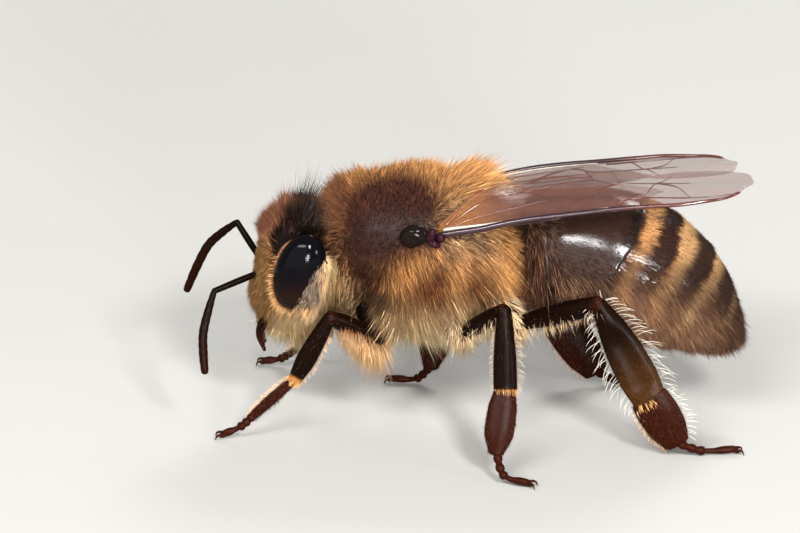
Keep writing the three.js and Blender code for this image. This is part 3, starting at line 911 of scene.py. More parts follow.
def thorax_style(points, normal, turn, way):
    """Short on the front shield, erect gold on top and behind, long and downswept on the sides."""
    c, coat = bpy.context.scene.bee_colours, bpy.context.scene.bee_coat
    x, y, z = points.T
    count = len(points)
    bald = shield(points)
    hinge = wing_root(points)
    gap = sum(mirrored(points, *COLLAR_GAP))
    top = ramp(z, 5.7, 6.5)  # above the wing hinges
    low = ramp(z + 0.15 * noise(points, 0.6, 12.0), 5.0, 4.0)  # the pale lower third, with an uneven edge
    back = ramp(x, -2.0, -1.0)  # behind the front shield
    flank = ramp(np.abs(y), 1.0, 1.4) * (1 - top)
    front = ramp(x + 0.25 * (z - 5.2) + 0.2 * noise(points, 0.5, 9.0), -2.8, -3.4)
    shoulder = ramp(x, -3.3, -3.8)  # the last stretch before the neck
    collar = front * ramp(np.abs(y), 0.7, 1.1) * (1 - top) * ramp(z, 3.6, 4.2)
    scut = back * top * ramp(np.abs(y), 1.0, 0.5)  # the rear shield's long gold tuft
    # Darker patches of hair on the upper flanks: partly the flank's own mixed tone, partly painted shade of
    # the gaps between locks.
    flank_tone_and_shade = (0.28 + 0.72 * ramp(noise(points, 0.4, 1.7), -0.5, 0.3)) * flank * (1 - low)

    density = (1 - 0.7 * bald) * (1 - 0.85 * gap) * (1 - 0.35 * flank * (1 - low)) * (1 + 0.5 * front)
    for room in (TEGULA_ROOM, COXA_ROOM):
        density *= 1 - 0.95 * sum(mirrored(points, *room))
    lie = mix(flat(count, (0.45, 0, -1)), flat(count, (-0.1, 0, 1)), top)
    lie = mix(lie, flat(count, (1, 0, 0.15)), back * top)
    lie = mix(lie, flat(count, (1, 0, -0.1)), hinge)
    lie = mix(lie, flat(count, (-0.5, 0, -0.75)), front * (1 - top))
    lie = mix(lie, flat(count, (-0.6, 0, 0.7)), ramp(x, -3.4, -3.9) * ramp(z, 5.4, 5.9))
    length = coat.thorax_length * (1 - 0.6 * bald) * (1 + 0.3 * low + 0.6 * scut)
    length *= (1 - 0.8 * hinge) * (1 - 0.45 * collar) * (1 - 0.3 * gap)
    length *= 1 + shoulder * (1 - low) * mix_number(-0.45, 0.15, ramp(z, 5.2, 5.9))
    length *= 1 + 0.35 * ramp(x, -1.1, -0.7) * (1 - top)

    tip = mix(mix(c.gold_tip, c.cream_tip, low), c.gold_root, flank_tone_and_shade)
    tip = mix(tip, c.cream_tip, 0.5 * hinge)
    tip = mix(tip, c.collar_hair, 0.85 * np.maximum(collar, shoulder * ramp(z, 7.0, 6.5) * (1 - low)))
    dark = np.clip(0.7 * bald + 0.5 * flank_tone_and_shade + 0.6 * collar, 0, 1)
    return dict(
        density=density,
        length=length,
        width=coat.width * (1 - 0.45 * bald),
        lift=0.7 + 0.5 * top - 0.1 * low - 0.25 * back * top - 0.45 * hinge - 0.2 * collar,
        lie=lie,
        sag=mix(flat(count, (0.06, 0, -0.25)), flat(count, (0.1, 0, 0.0)), top),
        root=mix(mix(c.gold_root, c.cream_root, low), c.shield, dark),
        tip=mix(tip, c.shield_hair, bald),
        vary=0.38,
    )


# ---- Abdomen ----

ABDOMEN_CAP = 0.06  # the share of the way that each end's cap takes
ABDOMEN_STATIONS = [  # x, z, wide, high, low
    (0.8, 4.7, 1.2, 1.58, 1.15),
    (1.67, 4.78, 1.72, 1.82, 1.46),
    (2.9, 4.62, 1.96, 2.0, 1.6),
    (4.1, 4.2, 1.93, 1.84, 1.66),
    (5.1, 3.62, 1.64, 1.42, 1.46),
    (5.85, 2.9, 1.15, 0.9, 0.98),
    (6.3, 2.36, 0.52, 0.42, 0.46),
]
RING_ENDS = np.array([0.0, 0.1, 0.39, 0.51, 0.645, 0.77, 1.0])
LAST_RING = len(RING_ENDS) - 2
BAND_SHARE = np.array([0.0, 0.0, 0.42, 0.44, 0.44, 0.14])  # how much of each ring its pale hair band takes
GLOSS = (2.6, 0, 6.45), (1.15, 1.95, 1.25)  # the bare shining back of the second ring


def ring_of(way):
    """The number of the ring at a way, and how far through that ring it is, from 0 to 1."""
    ring = np.clip(np.searchsorted(RING_ENDS, way, side="right") - 1, 0, LAST_RING)
    start, end = RING_ENDS[ring], RING_ENDS[ring + 1]
    return ring, np.clip((way - start) / (end - start), 0, 1)


def slant(turn, share):
    """The share along the abdomen that counts for the rings: they lie further forward on the sides."""
    return share + 0.055 * ramp(np.sin(2 * np.pi * turn), 0.75, 0.05) * ramp(share, 0.2, 0.4)


def abdomen_relief(points, turn, way):
    """Each ring flares to its rear edge, where it overlaps the next by a small step."""
    ring, through = ring_of(slant(turn, way))
    step = np.where(ring < LAST_RING, 0.055, 0.0)
    return step * through**1.5 - 0.02


def abdomen_form():
    """The abdomen: a drooping cone with a rounded front."""
    return Loft(midline(ABDOMEN_STATIONS), (0, 1, 0), 0.24, abdomen_relief, ABDOMEN_CAP)


def abdomen_share(way):
    """The place along the abdomen's line, 0 to 1, without the caps."""
    return np.clip((way - ABDOMEN_CAP) / (1 - 2 * ABDOMEN_CAP), 0, 1)


def abdomen_marks(points, turn, way):
    """Two shares: the pale hair bands at the front of the later rings, and the black rear edges."""
    wander = 0.014 * noise(points, 0.6, 5.0) + 0.008 * noise(points, 0.12, 9.0)
    ring, through = ring_of(slant(turn, abdomen_share(way)) + wander)
    band = BAND_SHARE[ring]
    pale = np.where(band > 0, 1 - ramp(through, band - 0.14, band + 0.12), 0.0)
    pale *= np.where(ring > 1, ramp(through, 0.0, 0.08), 1)
    edge = ramp(through, 0.86, 0.93) * (ring < LAST_RING)
    return pale, edge


def gloss_patch(points):
    """The bare back of the second ring, with a ragged lower edge."""
    patch = 1.7 * blob(points, *GLOSS)
    return np.clip(patch + 0.25 * noise(points, 0.25, 4.0), 0, 1) * np.clip(3 * patch, 0, 1)


def abdomen_tint(points, turn, way):
    """Dark brown, lighter under the pale bands, black at each ring's rear edge."""
    c = bpy.context.scene.bee_colours
    pale, edge = abdomen_marks(points, turn, way)
    tint = mix(c.abdomen, c.band_skin, 0.8 * pale)
    return mix(tint, c.shell, edge)


def abdomen_lie(x):
    """The way the hair lies on the abdomen: back along its line, which turns down to the tail."""
    drop = -0.1 - 0.75 * ramp(x, 2.0, 6.0)
    return unit(np.stack([np.ones_like(x), np.zeros_like(x), drop], -1))


def abdomen_style(points, normal, turn, way):
    """Pale bands lie flat, dark stripes are short, the sides long and sparse, the back of ring two bare."""
    c, coat = bpy.context.scene.bee_colours, bpy.context.scene.bee_coat
    x, nx, nz = points[:, 0], normal[:, 0], normal[:, 2]
    pale, edge = abdomen_marks(points, turn, way)
    side = ramp(nz, 0.5, 0.0)  # from the steep flank down
    under = ramp(nz, -0.15, -0.6)  # faces the floor
    fade = ramp(nz, 0.28, -0.22)  # where the dark stripes pale to the flank's brown
    faint = ramp(nz, 0.8, 0.32)  # where the pale bands lose their colour
    base = ramp(x, 1.75, 1.15)  # the first ring
    tail = ramp(x, 5.6, 6.3)
    later = ring_of(slant(turn, abdomen_share(way)))[0] > 1
    gloss = gloss_patch(points) * (1 - later) * (1 - pale)

    density = (0.6 + 1.0 * later + 0.9 * pale) * (1 - 0.97 * gloss) * (1 - 0.35 * base)
    density = density * (1 - 0.7 * ramp(-nx, 0.3, 0.8) * side)
    density = density * (1 - 0.3 * edge * (1 - side)) * (1 - 0.62 * side * (1 - later) * (1 - pale))
    sweep = np.maximum(side * (1 - 0.4 * under), 1.3 * base * ramp(nz, 0.9, 0.55))
    length = 0.5 + 0.85 * side + 0.7 * base - 0.15 * tail + under * mix_number(-0.45, 0.7, base)

    dull = mix(c.stripe_hair_tip, c.flank_tip, 0.2 * side + 0.55 * fade)
    band = mix(c.band_tip, c.band_root, 0.1 + 0.6 * ramp(x, 4.8, 4.2))
    tip = mix(mix(dull, band, pale * (1 - 0.72 * faint)), c.t1_hair, base)
    root = mix(c.stripe_hair_root, c.band_root, pale * (1 - 0.85 * faint))
    return dict(
        density=density,
        length=coat.abdomen_length * length,
        width=coat.width * (0.85 - 0.3 * base),
        lift=0.36 + 0.16 * side + 0.2 * base + 0.2 * under,
        lie=abdomen_lie(x) + flat(len(x), (0, 0, -0.8)) * sweep[:, None],
        sag=flat(len(x), (0, 0, -0.14)),
        root=mix(root, c.stripe_hair_root, base),
        tip=mix(tip, c.stripe_hair_tip, 0.5 * tail * (1 - pale)),
        vary=0.22 + 0.3 * side + 0.25 * base,
    )


# ---- Wings ----

# A wing's plan is given as x and the distance out from the midline, and its height follows from x.
WING_RISE = {"root": 5.98, "level": 7.2, "start": -1.6, "reach": 3.0}
FAR_WING = {"length": 0.955, "spread": 0.055}  # the right wings are held a little further out
FOREWING = {
    "costa": [
        (-1.75, 1.72), (-0.44, 1.95), (0.64, 1.98), (1.75, 1.93), (2.9, 1.88), (4.0, 1.9),
        (5.0, 1.92), (5.85, 1.76), (6.5, 1.38), (6.85, 0.98), (6.97, 0.6),
    ],
    "trail": [
        (-1.7, 1.45), (-1.1, 1.1), (-0.5, 0.55), (0.4, -0.4), (1.6, -0.9), (2.5, -0.98), (3.3, -0.55),
        (4.1, 0.02), (5.4, -0.25), (6.2, -0.2), (6.62, 0.0), (6.88, 0.28), (6.97, 0.6),
    ],
}
HINDWING = {
    "costa": [(-1.2, 1.5), (-0.2, 1.68), (1.2, 1.72), (2.4, 1.6), (3.5, 1.3), (4.5, 0.75)],
    "trail": [(-1.15, 1.3), (-0.4, 0.7), (0.8, 0.05), (2.0, -0.15), (3.3, 0.05), (4.2, 0.35), (4.5, 0.75)],
}
FILM = 0.03  # thickness
FORE_VEINS = [  # radius and route
    (0.034, [(-1.5, 1.5), (-0.8, 0.95), (0.0, 0.35), (0.7, -0.08), (1.61, -0.57), (2.11, -0.85)]),
    (
        0.042,
        [(-1.55, 1.62), (-0.7, 1.22), (0.1, 0.85), (0.7, 0.55), (1.25, 0.5), (2.0, 0.25), (2.56, 0.08)],
    ),
    (0.026, [(-1.5, 1.66), (-0.5, 1.5), (0.5, 1.32), (1.4, 1.16), (2.14, 1.2)]),
    (0.03, [(0.62, 0.5), (1.3, 0.85), (2.14, 1.2), (2.5, 1.55)]),
    (0.028, [(2.28, -0.58), (2.53, 0.0), (3.11, 0.66)]),
    (0.03, [(2.14, 1.2), (3.11, 0.66), (4.31, 0.57), (5.2, 0.55)]),
    (0.028, [(3.4, 1.6), (3.81, 1.4), (4.39, 0.43), (4.7, 0.1)]),
    (0.034, [(3.2, 1.66), (3.75, 1.5), (5.08, 1.58), (5.9, 1.5), (6.3, 1.4)]),
    (0.026, [(4.31, 0.57), (4.9, 1.0), (5.2, 1.56)]),
    (0.026, [(3.11, 0.66), (3.4, 0.2), (3.5, -0.3)]),
]
# A thin vein along the upper edge of the costa, tinted pale: a painted glint along the wing's front edge.
SUBCOSTA = [(-1.55, 1.63), (-0.44, 1.83), (0.64, 1.865), (1.75, 1.835), (2.9, 1.79)]
HIND_VEINS = [  # radius and route
    (0.03, [(-0.9, 1.3), (0.3, 1.1), (1.6, 0.95), (2.8, 1.0)]),
    (0.026, [(-0.8, 1.1), (0.3, 0.7), (1.5, 0.35), (2.4, 0.1)]),
]


def wing_height(x):
    """Steep at the hinge, level over the abdomen: level - (level - root) * exp(-(x - start) / reach)."""
    r = WING_RISE
    return r["level"] - (r["level"] - r["root"]) * np.exp(-(x - r["start"]) / r["reach"])


def on_wing(plan, side, lift):
    """A plan point (x, distance out from the midline) put at the wing's height, with its fine pleats."""
    x, out = plan[..., 0], plan[..., 1]
    if side == RIGHT:
        x = WING_RISE["start"] + (x - WING_RISE["start"]) * FAR_WING["length"]
        out = out + (x - WING_RISE["start"]) * FAR_WING["spread"]
    pleat = 0.035 * np.sin(out * 7.0 - x * 0.9) * ramp(x, -1.5, 0.5)
    fall = -0.12 * ramp(out, 1.2, 2.0) + 0.16 * ramp(out, 1.4, 0.4) * ramp(x, 5.0, 1.0)
    tilt = 0.5 * np.clip(1.95 - out, 0, 1.2) * ramp(x, 1.0, -1.2)  # the hinge end rises toward the midline
    return np.stack([x, side * out, wing_height(x) + lift + pleat + fall + tilt], -1)


def wing_plate(heap, wing, side, lift, tint):
    """A film between two plan curves, spanned by straight chords: two layers, closed round the border."""
    spans, chords = 96, 28
    s, c = np.meshgrid(np.linspace(0, 1, spans), np.linspace(0, 1, chords), indexing="ij")
    outer = catmull(np.array(wing["costa"]), s)[0]
    inner = catmull(np.array(wing["trail"]), s)[0]
    plan = outer * (1 - c[..., None]) + inner * c[..., None]
    middle = on_wing(plan, side, lift)
    upper, lower = middle + (0, 0, FILM / 2), middle - (0, 0, FILM / 2)
    points = np.vstack([upper.reshape(-1, 3), lower.reshape(-1, 3)])
    i, j = np.meshgrid(np.arange(spans - 1), np.arange(chords - 1), indexing="ij")
    a = (i * chords + j).ravel()
    square = np.stack([a, a + 1, a + chords + 1, a + chords], -1)
    half = spans * chords
    border = np.concatenate([
        np.arange(chords),
        np.arange(2 * chords - 1, half, chords),
        np.arange(half - 2, half - chords - 1, -1),
        np.arange(half - 2 * chords, 0, -chords),
    ])
    after = np.roll(border, -1)
    wall = np.stack([after, border, border + half, after + half], -1)
    quads = np.vstack([square, square[:, ::-1] + half, wall])
    if side == LEFT:
        quads = quads[:, ::-1]
    faces = np.vstack([quads[:, [0, 1, 2]], quads[:, [0, 2, 3]]])
    a, b, d = (points[faces[: len(square)], :][:, k] for k in range(3))
    if np.cross(b - a, d - a)[:, 2].sum() < 0:
        faces = faces[:, ::-1]
    spot = np.stack([s.ravel(), c.ravel()], -1) * (0.96, 0.46) + (0.02, 0.02)
    unwrap = np.vstack([spot, spot + (0, 0.5)])[faces]
    heap.add(points, faces, unwrap, tint(points))


def tube(route, radius, side, lift):
    """A vein: a small round section along a smooth line through plan points, thinner to its end."""
    line = catmull(np.array(route), np.linspace(0, 1, 3 * len(route)))[0]
    middle = on_wing(line, side, lift)
    size = radius * np.linspace(1, 0.4, len(middle))
    return Loft(np.column_stack([middle, size, size, size]), (0, 1, 0), radius)


# ---- Feelers and legs ----

FEELERS = {  # the joints from the face to the tip
    "left": [(-6.62, -0.32, 4.4), (-7.92, -0.9, 4.05), (-8.22, -1.45, 3.0), (-8.17, -2.0, 2.08)],
    "right": [(-6.6, 0.34, 4.42), (-7.31, 0.9, 5.39), (-8.1, 1.15, 4.62), (-8.73, 1.2, 3.23)],
}
STANCE = {  # each leg's joints from the body down to the tip of the foot
    "fore_left": [
        (-3.66, -0.7, 3.5), (-3.42, -0.9, 2.68), (-4.72, -1.5, 3.51), (-5.67, -1.7, 1.77),
        (-6.81, -1.8, 0.73), (-7.2, -1.8, 0.36), (-7.66, -1.8, 0.15),
    ],
    "fore_right": [
        (-3.66, 0.7, 3.5), (-3.36, 1.0, 2.6), (-4.6, 2.3, 3.5), (-4.86, 2.6, 1.4),
        (-5.83, 3.4, 0.45), (-6.15, 3.46, 0.22), (-6.6, 3.5, 0.14),
    ],
    "mid_left": [
        (-1.5, -0.9, 3.5), (-1.06, -1.4, 2.98), (0.08, -2.8, 4.25), (0.11, -3.7, 2.33),
        (-0.14, -4.6, 0.78), (0.08, -5.0, 0.25), (0.72, -5.2, 0.14),
    ],
    "mid_right": [
        (-1.5, 0.9, 3.5), (-1.1, 1.4, 3.0), (-1.3, 3.3, 4.1), (-1.6, 2.7, 2.1),
        (-1.92, 2.2, 0.5), (-2.3, 2.15, 0.16), (-2.98, 2.2, 0.14),
    ],
    "hind_left": [
        (-0.25, -0.85, 3.75), (0.42, -1.35, 3.25), (2.69, -2.6, 4.35), (4.08, -3.0, 1.72),
        (4.86, -3.1, 0.42), (5.56, -3.0, 0.15), (6.46, -2.9, 0.16),
    ],
    "hind_right": [
        (-0.25, 0.85, 3.75), (0.4, 1.35, 3.25), (1.75, 3.2, 4.7), (1.72, 2.3, 1.85),
        (2.72, 2.05, 0.42), (3.3, 2.05, 0.15), (4.15, 2.05, 0.14),
    ],
}
LEG_SIZES = {  # half sizes along each segment: broad ones, then thick ones
    "fore": {
        "coxa": ([0.36, 0.4, 0.3], [0.36, 0.4, 0.3]),
        "femur": ([0.15, 0.24, 0.25, 0.19], [0.15, 0.22, 0.22, 0.18]),
        "tibia": ([0.17, 0.25, 0.28, 0.2], [0.16, 0.2, 0.2, 0.17]),
        "basitarsus": ([0.12, 0.15, 0.13], [0.1, 0.12, 0.1]),
    },
    "mid": {
        "coxa": ([0.38, 0.4, 0.3], [0.38, 0.4, 0.3]),
        "femur": ([0.16, 0.25, 0.25, 0.2], [0.16, 0.22, 0.22, 0.18]),
        "tibia": ([0.2, 0.27, 0.32, 0.33], [0.17, 0.21, 0.21, 0.2]),
        "basitarsus": ([0.27, 0.4, 0.41, 0.22], [0.12, 0.15, 0.15, 0.11]),
    },
    "hind": {
        "coxa": ([0.4, 0.42, 0.32], [0.4, 0.42, 0.32]),
        "femur": ([0.18, 0.28, 0.3, 0.24], [0.17, 0.24, 0.25, 0.2]),
        "tibia": ([0.21, 0.4, 0.52, 0.55, 0.48], [0.17, 0.18, 0.18, 0.17, 0.14]),
        "basitarsus": ([0.54, 0.58, 0.54, 0.36], [0.13, 0.15, 0.14, 0.11]),
    },
}
SEGMENTS = ["coxa", "femur", "tibia", "basitarsus"]
SEGMENT_CELLS = [(0, number * 0.2, 1, 0.19) for number in range(4)]  # their parts of a leg's unwrap
FACE_TURN = {"left": 0.25, "right": 0.75}  # the turn that faces away from the body
FOOT_CUTS = [-0.02, 0.17, 0.35, 0.52, 1.0]  # where the foot's beads start and end along its line
SEGMENT_SIDE = {"coxa": (1, 0, 0), "femur": (0, 0, 1), "tibia": (1, 0, 0), "basitarsus": (1, 0, 0)}
SEGMENT_RED = [0.0, 0.05, 0.06, 0.75]  # how much of the foot's red each segment has
AMBER = {"fore": (0.84, 0.9), "mid": (0.9, 1.0), "hind": (0.9, 0.6)}  # the tibia's pale end: start, share
# Rows of long hair on a leg's edges: segment, the edge's turn, way from and to, number, length, curl,
# colour and width.
EDGE_ROWS = {
    "fore": [
        (3, 0.0, 0.1, 0.95, 60, 0.2, 0.2, "bristle_tip", 0.02),
        (2, 0.5, 0.3, 0.95, 40, 0.2, 0.2, "bristle_tip", 0.016),
    ],
    "mid": [
        (2, 0.5, 0.12, 0.9, 44, 0.34, 0.3, "cream_tip", 0.013),
        (2, 0.0, 0.3, 0.95, 34, 0.16, 0.2, "cream_tip", 0.014),
    ],
    "hind": [
        (2, 0.0, 0.1, 0.97, 40, 0.6, 0.3, "silver", 0.022),
        (2, 0.5, 0.06, 0.97, 42, 0.7, 0.35, "silver", 0.022),
        (3, 0.5, 0.14, 0.85, 26, 0.4, 0.2, "silver", 0.02),
        (3, 0.0, 0.14, 0.9, 40, 0.16, 0.1, "bristle_tip", 0.02),
    ],
}
COMB = {"fore": (150, 0.2), "mid": (150, 0.2), "hind": (260, 0.28)}  # spines and the longest, by leg pair


def bar(joints, broad, thick, side, relief=None, cap_share=0.12):
    """A limb's length: half sizes (broad ones lie along side) on a smooth line through its joints."""
    t = np.linspace(0, 1, len(broad))
    line = catmull(np.array(joints, float), t)[0]
    stations = np.column_stack([line, broad, thick, thick])
    return Loft(stations, side, min(thick[0], thick[-1]) * 0.9, relief, cap_share)


def basket(hand):
    """The pollen basket: the hind tibia's outer face is hollowed along its middle."""

    def relief(points, turn, way):
        facing = np.exp(-(((turn - FACE_TURN[hand]) / 0.11) ** 2))
        return -0.09 * facing * ramp(way, 0.15, 0.45) * ramp(way, 0.99, 0.85)

    return relief


def leg_form(name, number):
    """One of the four long segments of a leg."""
    kind, hand = name.split("_")
    piece = SEGMENTS[number]
    broad, thick = LEG_SIZES[kind][piece]
    relief = basket(hand) if (kind, piece) == ("hind", "tibia") else None
    return bar(STANCE[name][number : number + 2], broad, thick, SEGMENT_SIDE[piece], relief)


def tarsus_forms(name):
    """Three short beads, the long last one with its pad, and two hooked claws that touch the floor."""
    heel, foot, toe = (np.array(p) for p in STANCE[name][4:7])
    forms = []
    for number, (start, end) in enumerate(zip(FOOT_CUTS, FOOT_CUTS[1:])):
        line = catmull(np.array([heel, foot, toe]), np.linspace(start, end, 4))[0]
        size = np.array([0.08, 0.1, 0.13, 0.12] if number < 3 else [0.07, 0.08, 0.11, 0.1])
        line[:, 2] = np.maximum(line[:, 2], size + 0.01)
        forms.append(Loft(np.column_stack([line, size, size, size]), (0, 1, 0), 0.05))
    ahead = unit(unit(toe - foot) * (1, 1, 0))
    across = np.array((-ahead[1], ahead[0], 0.0))
    tip = np.array((toe[0], toe[1], 0.12)) - ahead * 0.04
    steps = np.array([(0.0, 0.05, 0.0), (0.12, 0.1, 0.04), (0.24, 0.14, 0.0), (0.27, 0.15, -0.095)])
    size = np.array([0.045, 0.04, 0.028, 0.008])
    for spread in (-1, 1):
        line = tip + steps[:, :1] * ahead + spread * steps[:, 1:2] * across + steps[:, 2:] * (0, 0, 1)
        forms.append(Loft(np.column_stack([line, size, size, size]), (0, 0, 1), 0.02))
    forms.append(Egg(tip + ahead * 0.1 - (0, 0, 0.03), (0.1, 0.08, 0.06)))
    return forms


def leg_tint(kind, number):
    """Dark brown, with the amber end of the tibia and the redder foot."""
    c = bpy.context.scene.bee_colours

    def tint(points, turn, way):
        base = mix(c.leg, c.leg_red, SEGMENT_RED[number] * np.ones(len(points)))
        if SEGMENTS[number] == "femur":
            base = mix(base, c.leg_red, ramp(way, 0.8, 0.95))
        if SEGMENTS[number] == "tibia":
            start, share = AMBER[kind]
            # The hind tibia pales toward its lower end: partly its own browner tone, partly painted
            # reflection.
            if kind == "hind":
                base = mix(base, c.amber, 0.07 * ramp(way, 0.35, 0.85))
            base = mix(base, c.amber, ramp(way, start, start + 0.05) * ramp(way, 1.0, 0.96) * share)
        return base

    return tint


def plain_hair(form, length, lift, root, tip, width, where=None, lie=None, sag=(0, 0, -0.1), vary=0.25):
    """A style for hair of one kind on a limb: it lies along the limb unless a direction is given.

    length may be a function of way, and where is a field of points, normal, turn and way: the density.
    """

    def style(points, normal, turn, way):
        count = len(points)
        return dict(
            density=np.ones(count) if where is None else where(points, normal, turn, way),
            length=(length(way) if callable(length) else length) * np.ones(count),
            width=width,
            lift=lift,
            lie=form.lie(way) if lie is None else flat(count, lie),
            sag=flat(count, sag),
            root=flat(count, root),
            tip=flat(count, tip),
            vary=vary,
        )

    return style


def edge_row(form, edge, start, end, count, length, curl, outer, rng):
    """Long curved hairs in a row along one edge of a flat limb: out from the edge, then down and inward.

    Returns their roots, aims, lengths, sags and places on the unwrap, as comb does.
    """
    way = np.linspace(start, end, count) + rng.uniform(-0.012, 0.012, count)
    turn = edge + 0.02 * rng.standard_normal(count)
    root = form.place(turn, way)
    out = form.outward(turn, way)[0]
    face = form.outward(np.full(count, outer), way)[0]
    along = form.lie(way)
    aim = unit(out + 0.3 * along + 0.2 * face + 0.25 * rng.standard_normal((count, 3)))
    sag = curl * (0.7 * along + 0.5 * face - 0.5 * out)
    reach = length * np.sin(np.pi * np.clip(way, 0.12, 0.88)) ** 0.5 * rng.uniform(0.8, 1.15, count)
    return root, aim, reach, sag, np.stack([turn % 1, way], -1)


def comb(tibia, count, longest, rng):
    """The straight spines round a tibia's end: along the limb and a little outward."""
    turn, way = rng.uniform(0, 1, count), rng.uniform(0.9, 0.97, count)
    out = tibia.outward(turn, way)[0]
    aim = unit(tibia.lie(way) + 0.25 * out + 0.12 * rng.standard_normal((count, 3)))
    reach = rng.uniform(0.08, longest, count)
    return tibia.place(turn, way), aim, reach, 0 * aim, np.stack([turn, way], -1)


def below(points, normal, turn, way):
    """1 on the underside of a limb, 0 on its upper half."""
    return ramp(normal[:, 2], 0.2, -0.5)


def fore_hair(coxa, femur, c, side):
    """The cream beard on the inner side of a fore coxa and the fringe under the femur."""
    inner = lambda p, n, t, w: ramp(side * n[:, 1], 0.35, -0.2) * ramp(p[:, 2], 3.4, 2.9)
    hang = lambda p, n, t, w: below(p, n, t, w) * ramp(w, 0.8, 0.25)
    shrink = lambda w: 0.9 - 0.7 * w
    tan = mix(c.face_tip, c.cream_tip, 0.3)
    down, droop = (-0.15, 0, -1), (0, 0, -0.3)
    beard = plain_hair(coxa, 0.45, 0.5, c.cream_root, c.cream_tip, 0.016, inner, down, droop)
    fringe = plain_hair(femur, shrink, 0.8, c.gold_root, tan, 0.012, hang, (0.1, 0, -1), (0.05, 0, -0.2))
    return [
        (0, coxa, 2600, beard, dict(rings=1)),
        (1, femur, 2000, fringe, dict(clump=0.5, flock=40, loose=0.26)),
    ]


def rear_hair(coxa, femur, c):
    """The tan hair of a middle or hind coxa and the thin fringe under its femur."""
    shrink = lambda w: 0.4 - 0.12 * w
    tan = plain_hair(coxa, 0.4, 0.6, c.gold_root, c.cream_tip, 0.024, None, (0.2, 0, -1), (0, 0, -0.3))
    fringe = plain_hair(
        femur, shrink, 0.8, c.leg_hair, c.cream_tip, 0.013, below, (0.2, 0, -1), (0.1, 0, -0.2), 0.5
    )
    return [(0, coxa, 1500, tan, dict(rings=1)), (1, femur, 150, fringe, dict(clump=0, loose=0.25))]


def leg_coat(name, c, seed):
    """All the hair of one leg as a heap: longer hair near the body, short hair, edge rows and the comb."""
    kind, hand = name.split("_")
    outer = FACE_TURN[hand]
    forms = [leg_form(name, number) for number in range(4)]
    coxa, femur, tibia, basitarsus = forms
    off_face = None
    if kind == "hind":
        off_face = lambda p, n, t, w: 1 - 0.97 * np.exp(-(((t - outer) / 0.2) ** 4))
    edges = lambda p, n, t, w: np.exp(-((np.minimum(t % 0.5, 0.5 - t % 0.5) / 0.07) ** 2)) + 0.15
    short = [
        (1, 200, plain_hair(femur, 0.13, 0.25, c.leg, c.leg_hair, 0.011)),
        (2, 260, plain_hair(tibia, 0.12, 0.3, c.leg, c.leg_hair, 0.011, off_face)),
        (3, 700, plain_hair(basitarsus, 0.12, 0.5, c.leg_red, c.leg_hair, 0.013, edges)),
    ]
    growths = fore_hair(coxa, femur, c, SIDES[hand]) if kind == "fore" else rear_hair(coxa, femur, c)
    bristly = dict(rings=1, clump=0)
    growths += [(number, forms[number], count, style, bristly) for number, count, style in short]
    heap = Heap()
    for order, (number, form, count, style, manner) in enumerate(growths):
        heap.add(*grow(form, count, style, seed + order, SEGMENT_CELLS[number], **manner))
    rng = np.random.default_rng(seed + 5)
    rows = [
        (number, edge_row(forms[number], *row, outer, rng), getattr(c, tip), width)
        for number, *row, tip, width in EDGE_ROWS[kind]
    ]
    rows.append((2, comb(tibia, *COMB[kind], rng), c.comb, 0.016))
    for number, (root, aim, reach, sag, spot), tip, width in rows:
        count = len(root)
        left, low, wide, high = SEGMENT_CELLS[number]
        colours = (mix(c.leg_red, tip, 0.35 * np.ones(count)), flat(count, tip))
        unwrap = spot * (wide, high) + (left, low)
        heap.add(*strands(root, aim, reach, np.full(count, width), sag, colours, unwrap, 4))
    return heap


# ---- The add-on: values ----


def colour(name, description, code):
    """A colour property whose default is an sRGB hex code."""
    return FloatVectorProperty(
        name=name, description=description, subtype="COLOR", size=3, min=0, max=1, default=linear(code)
    )


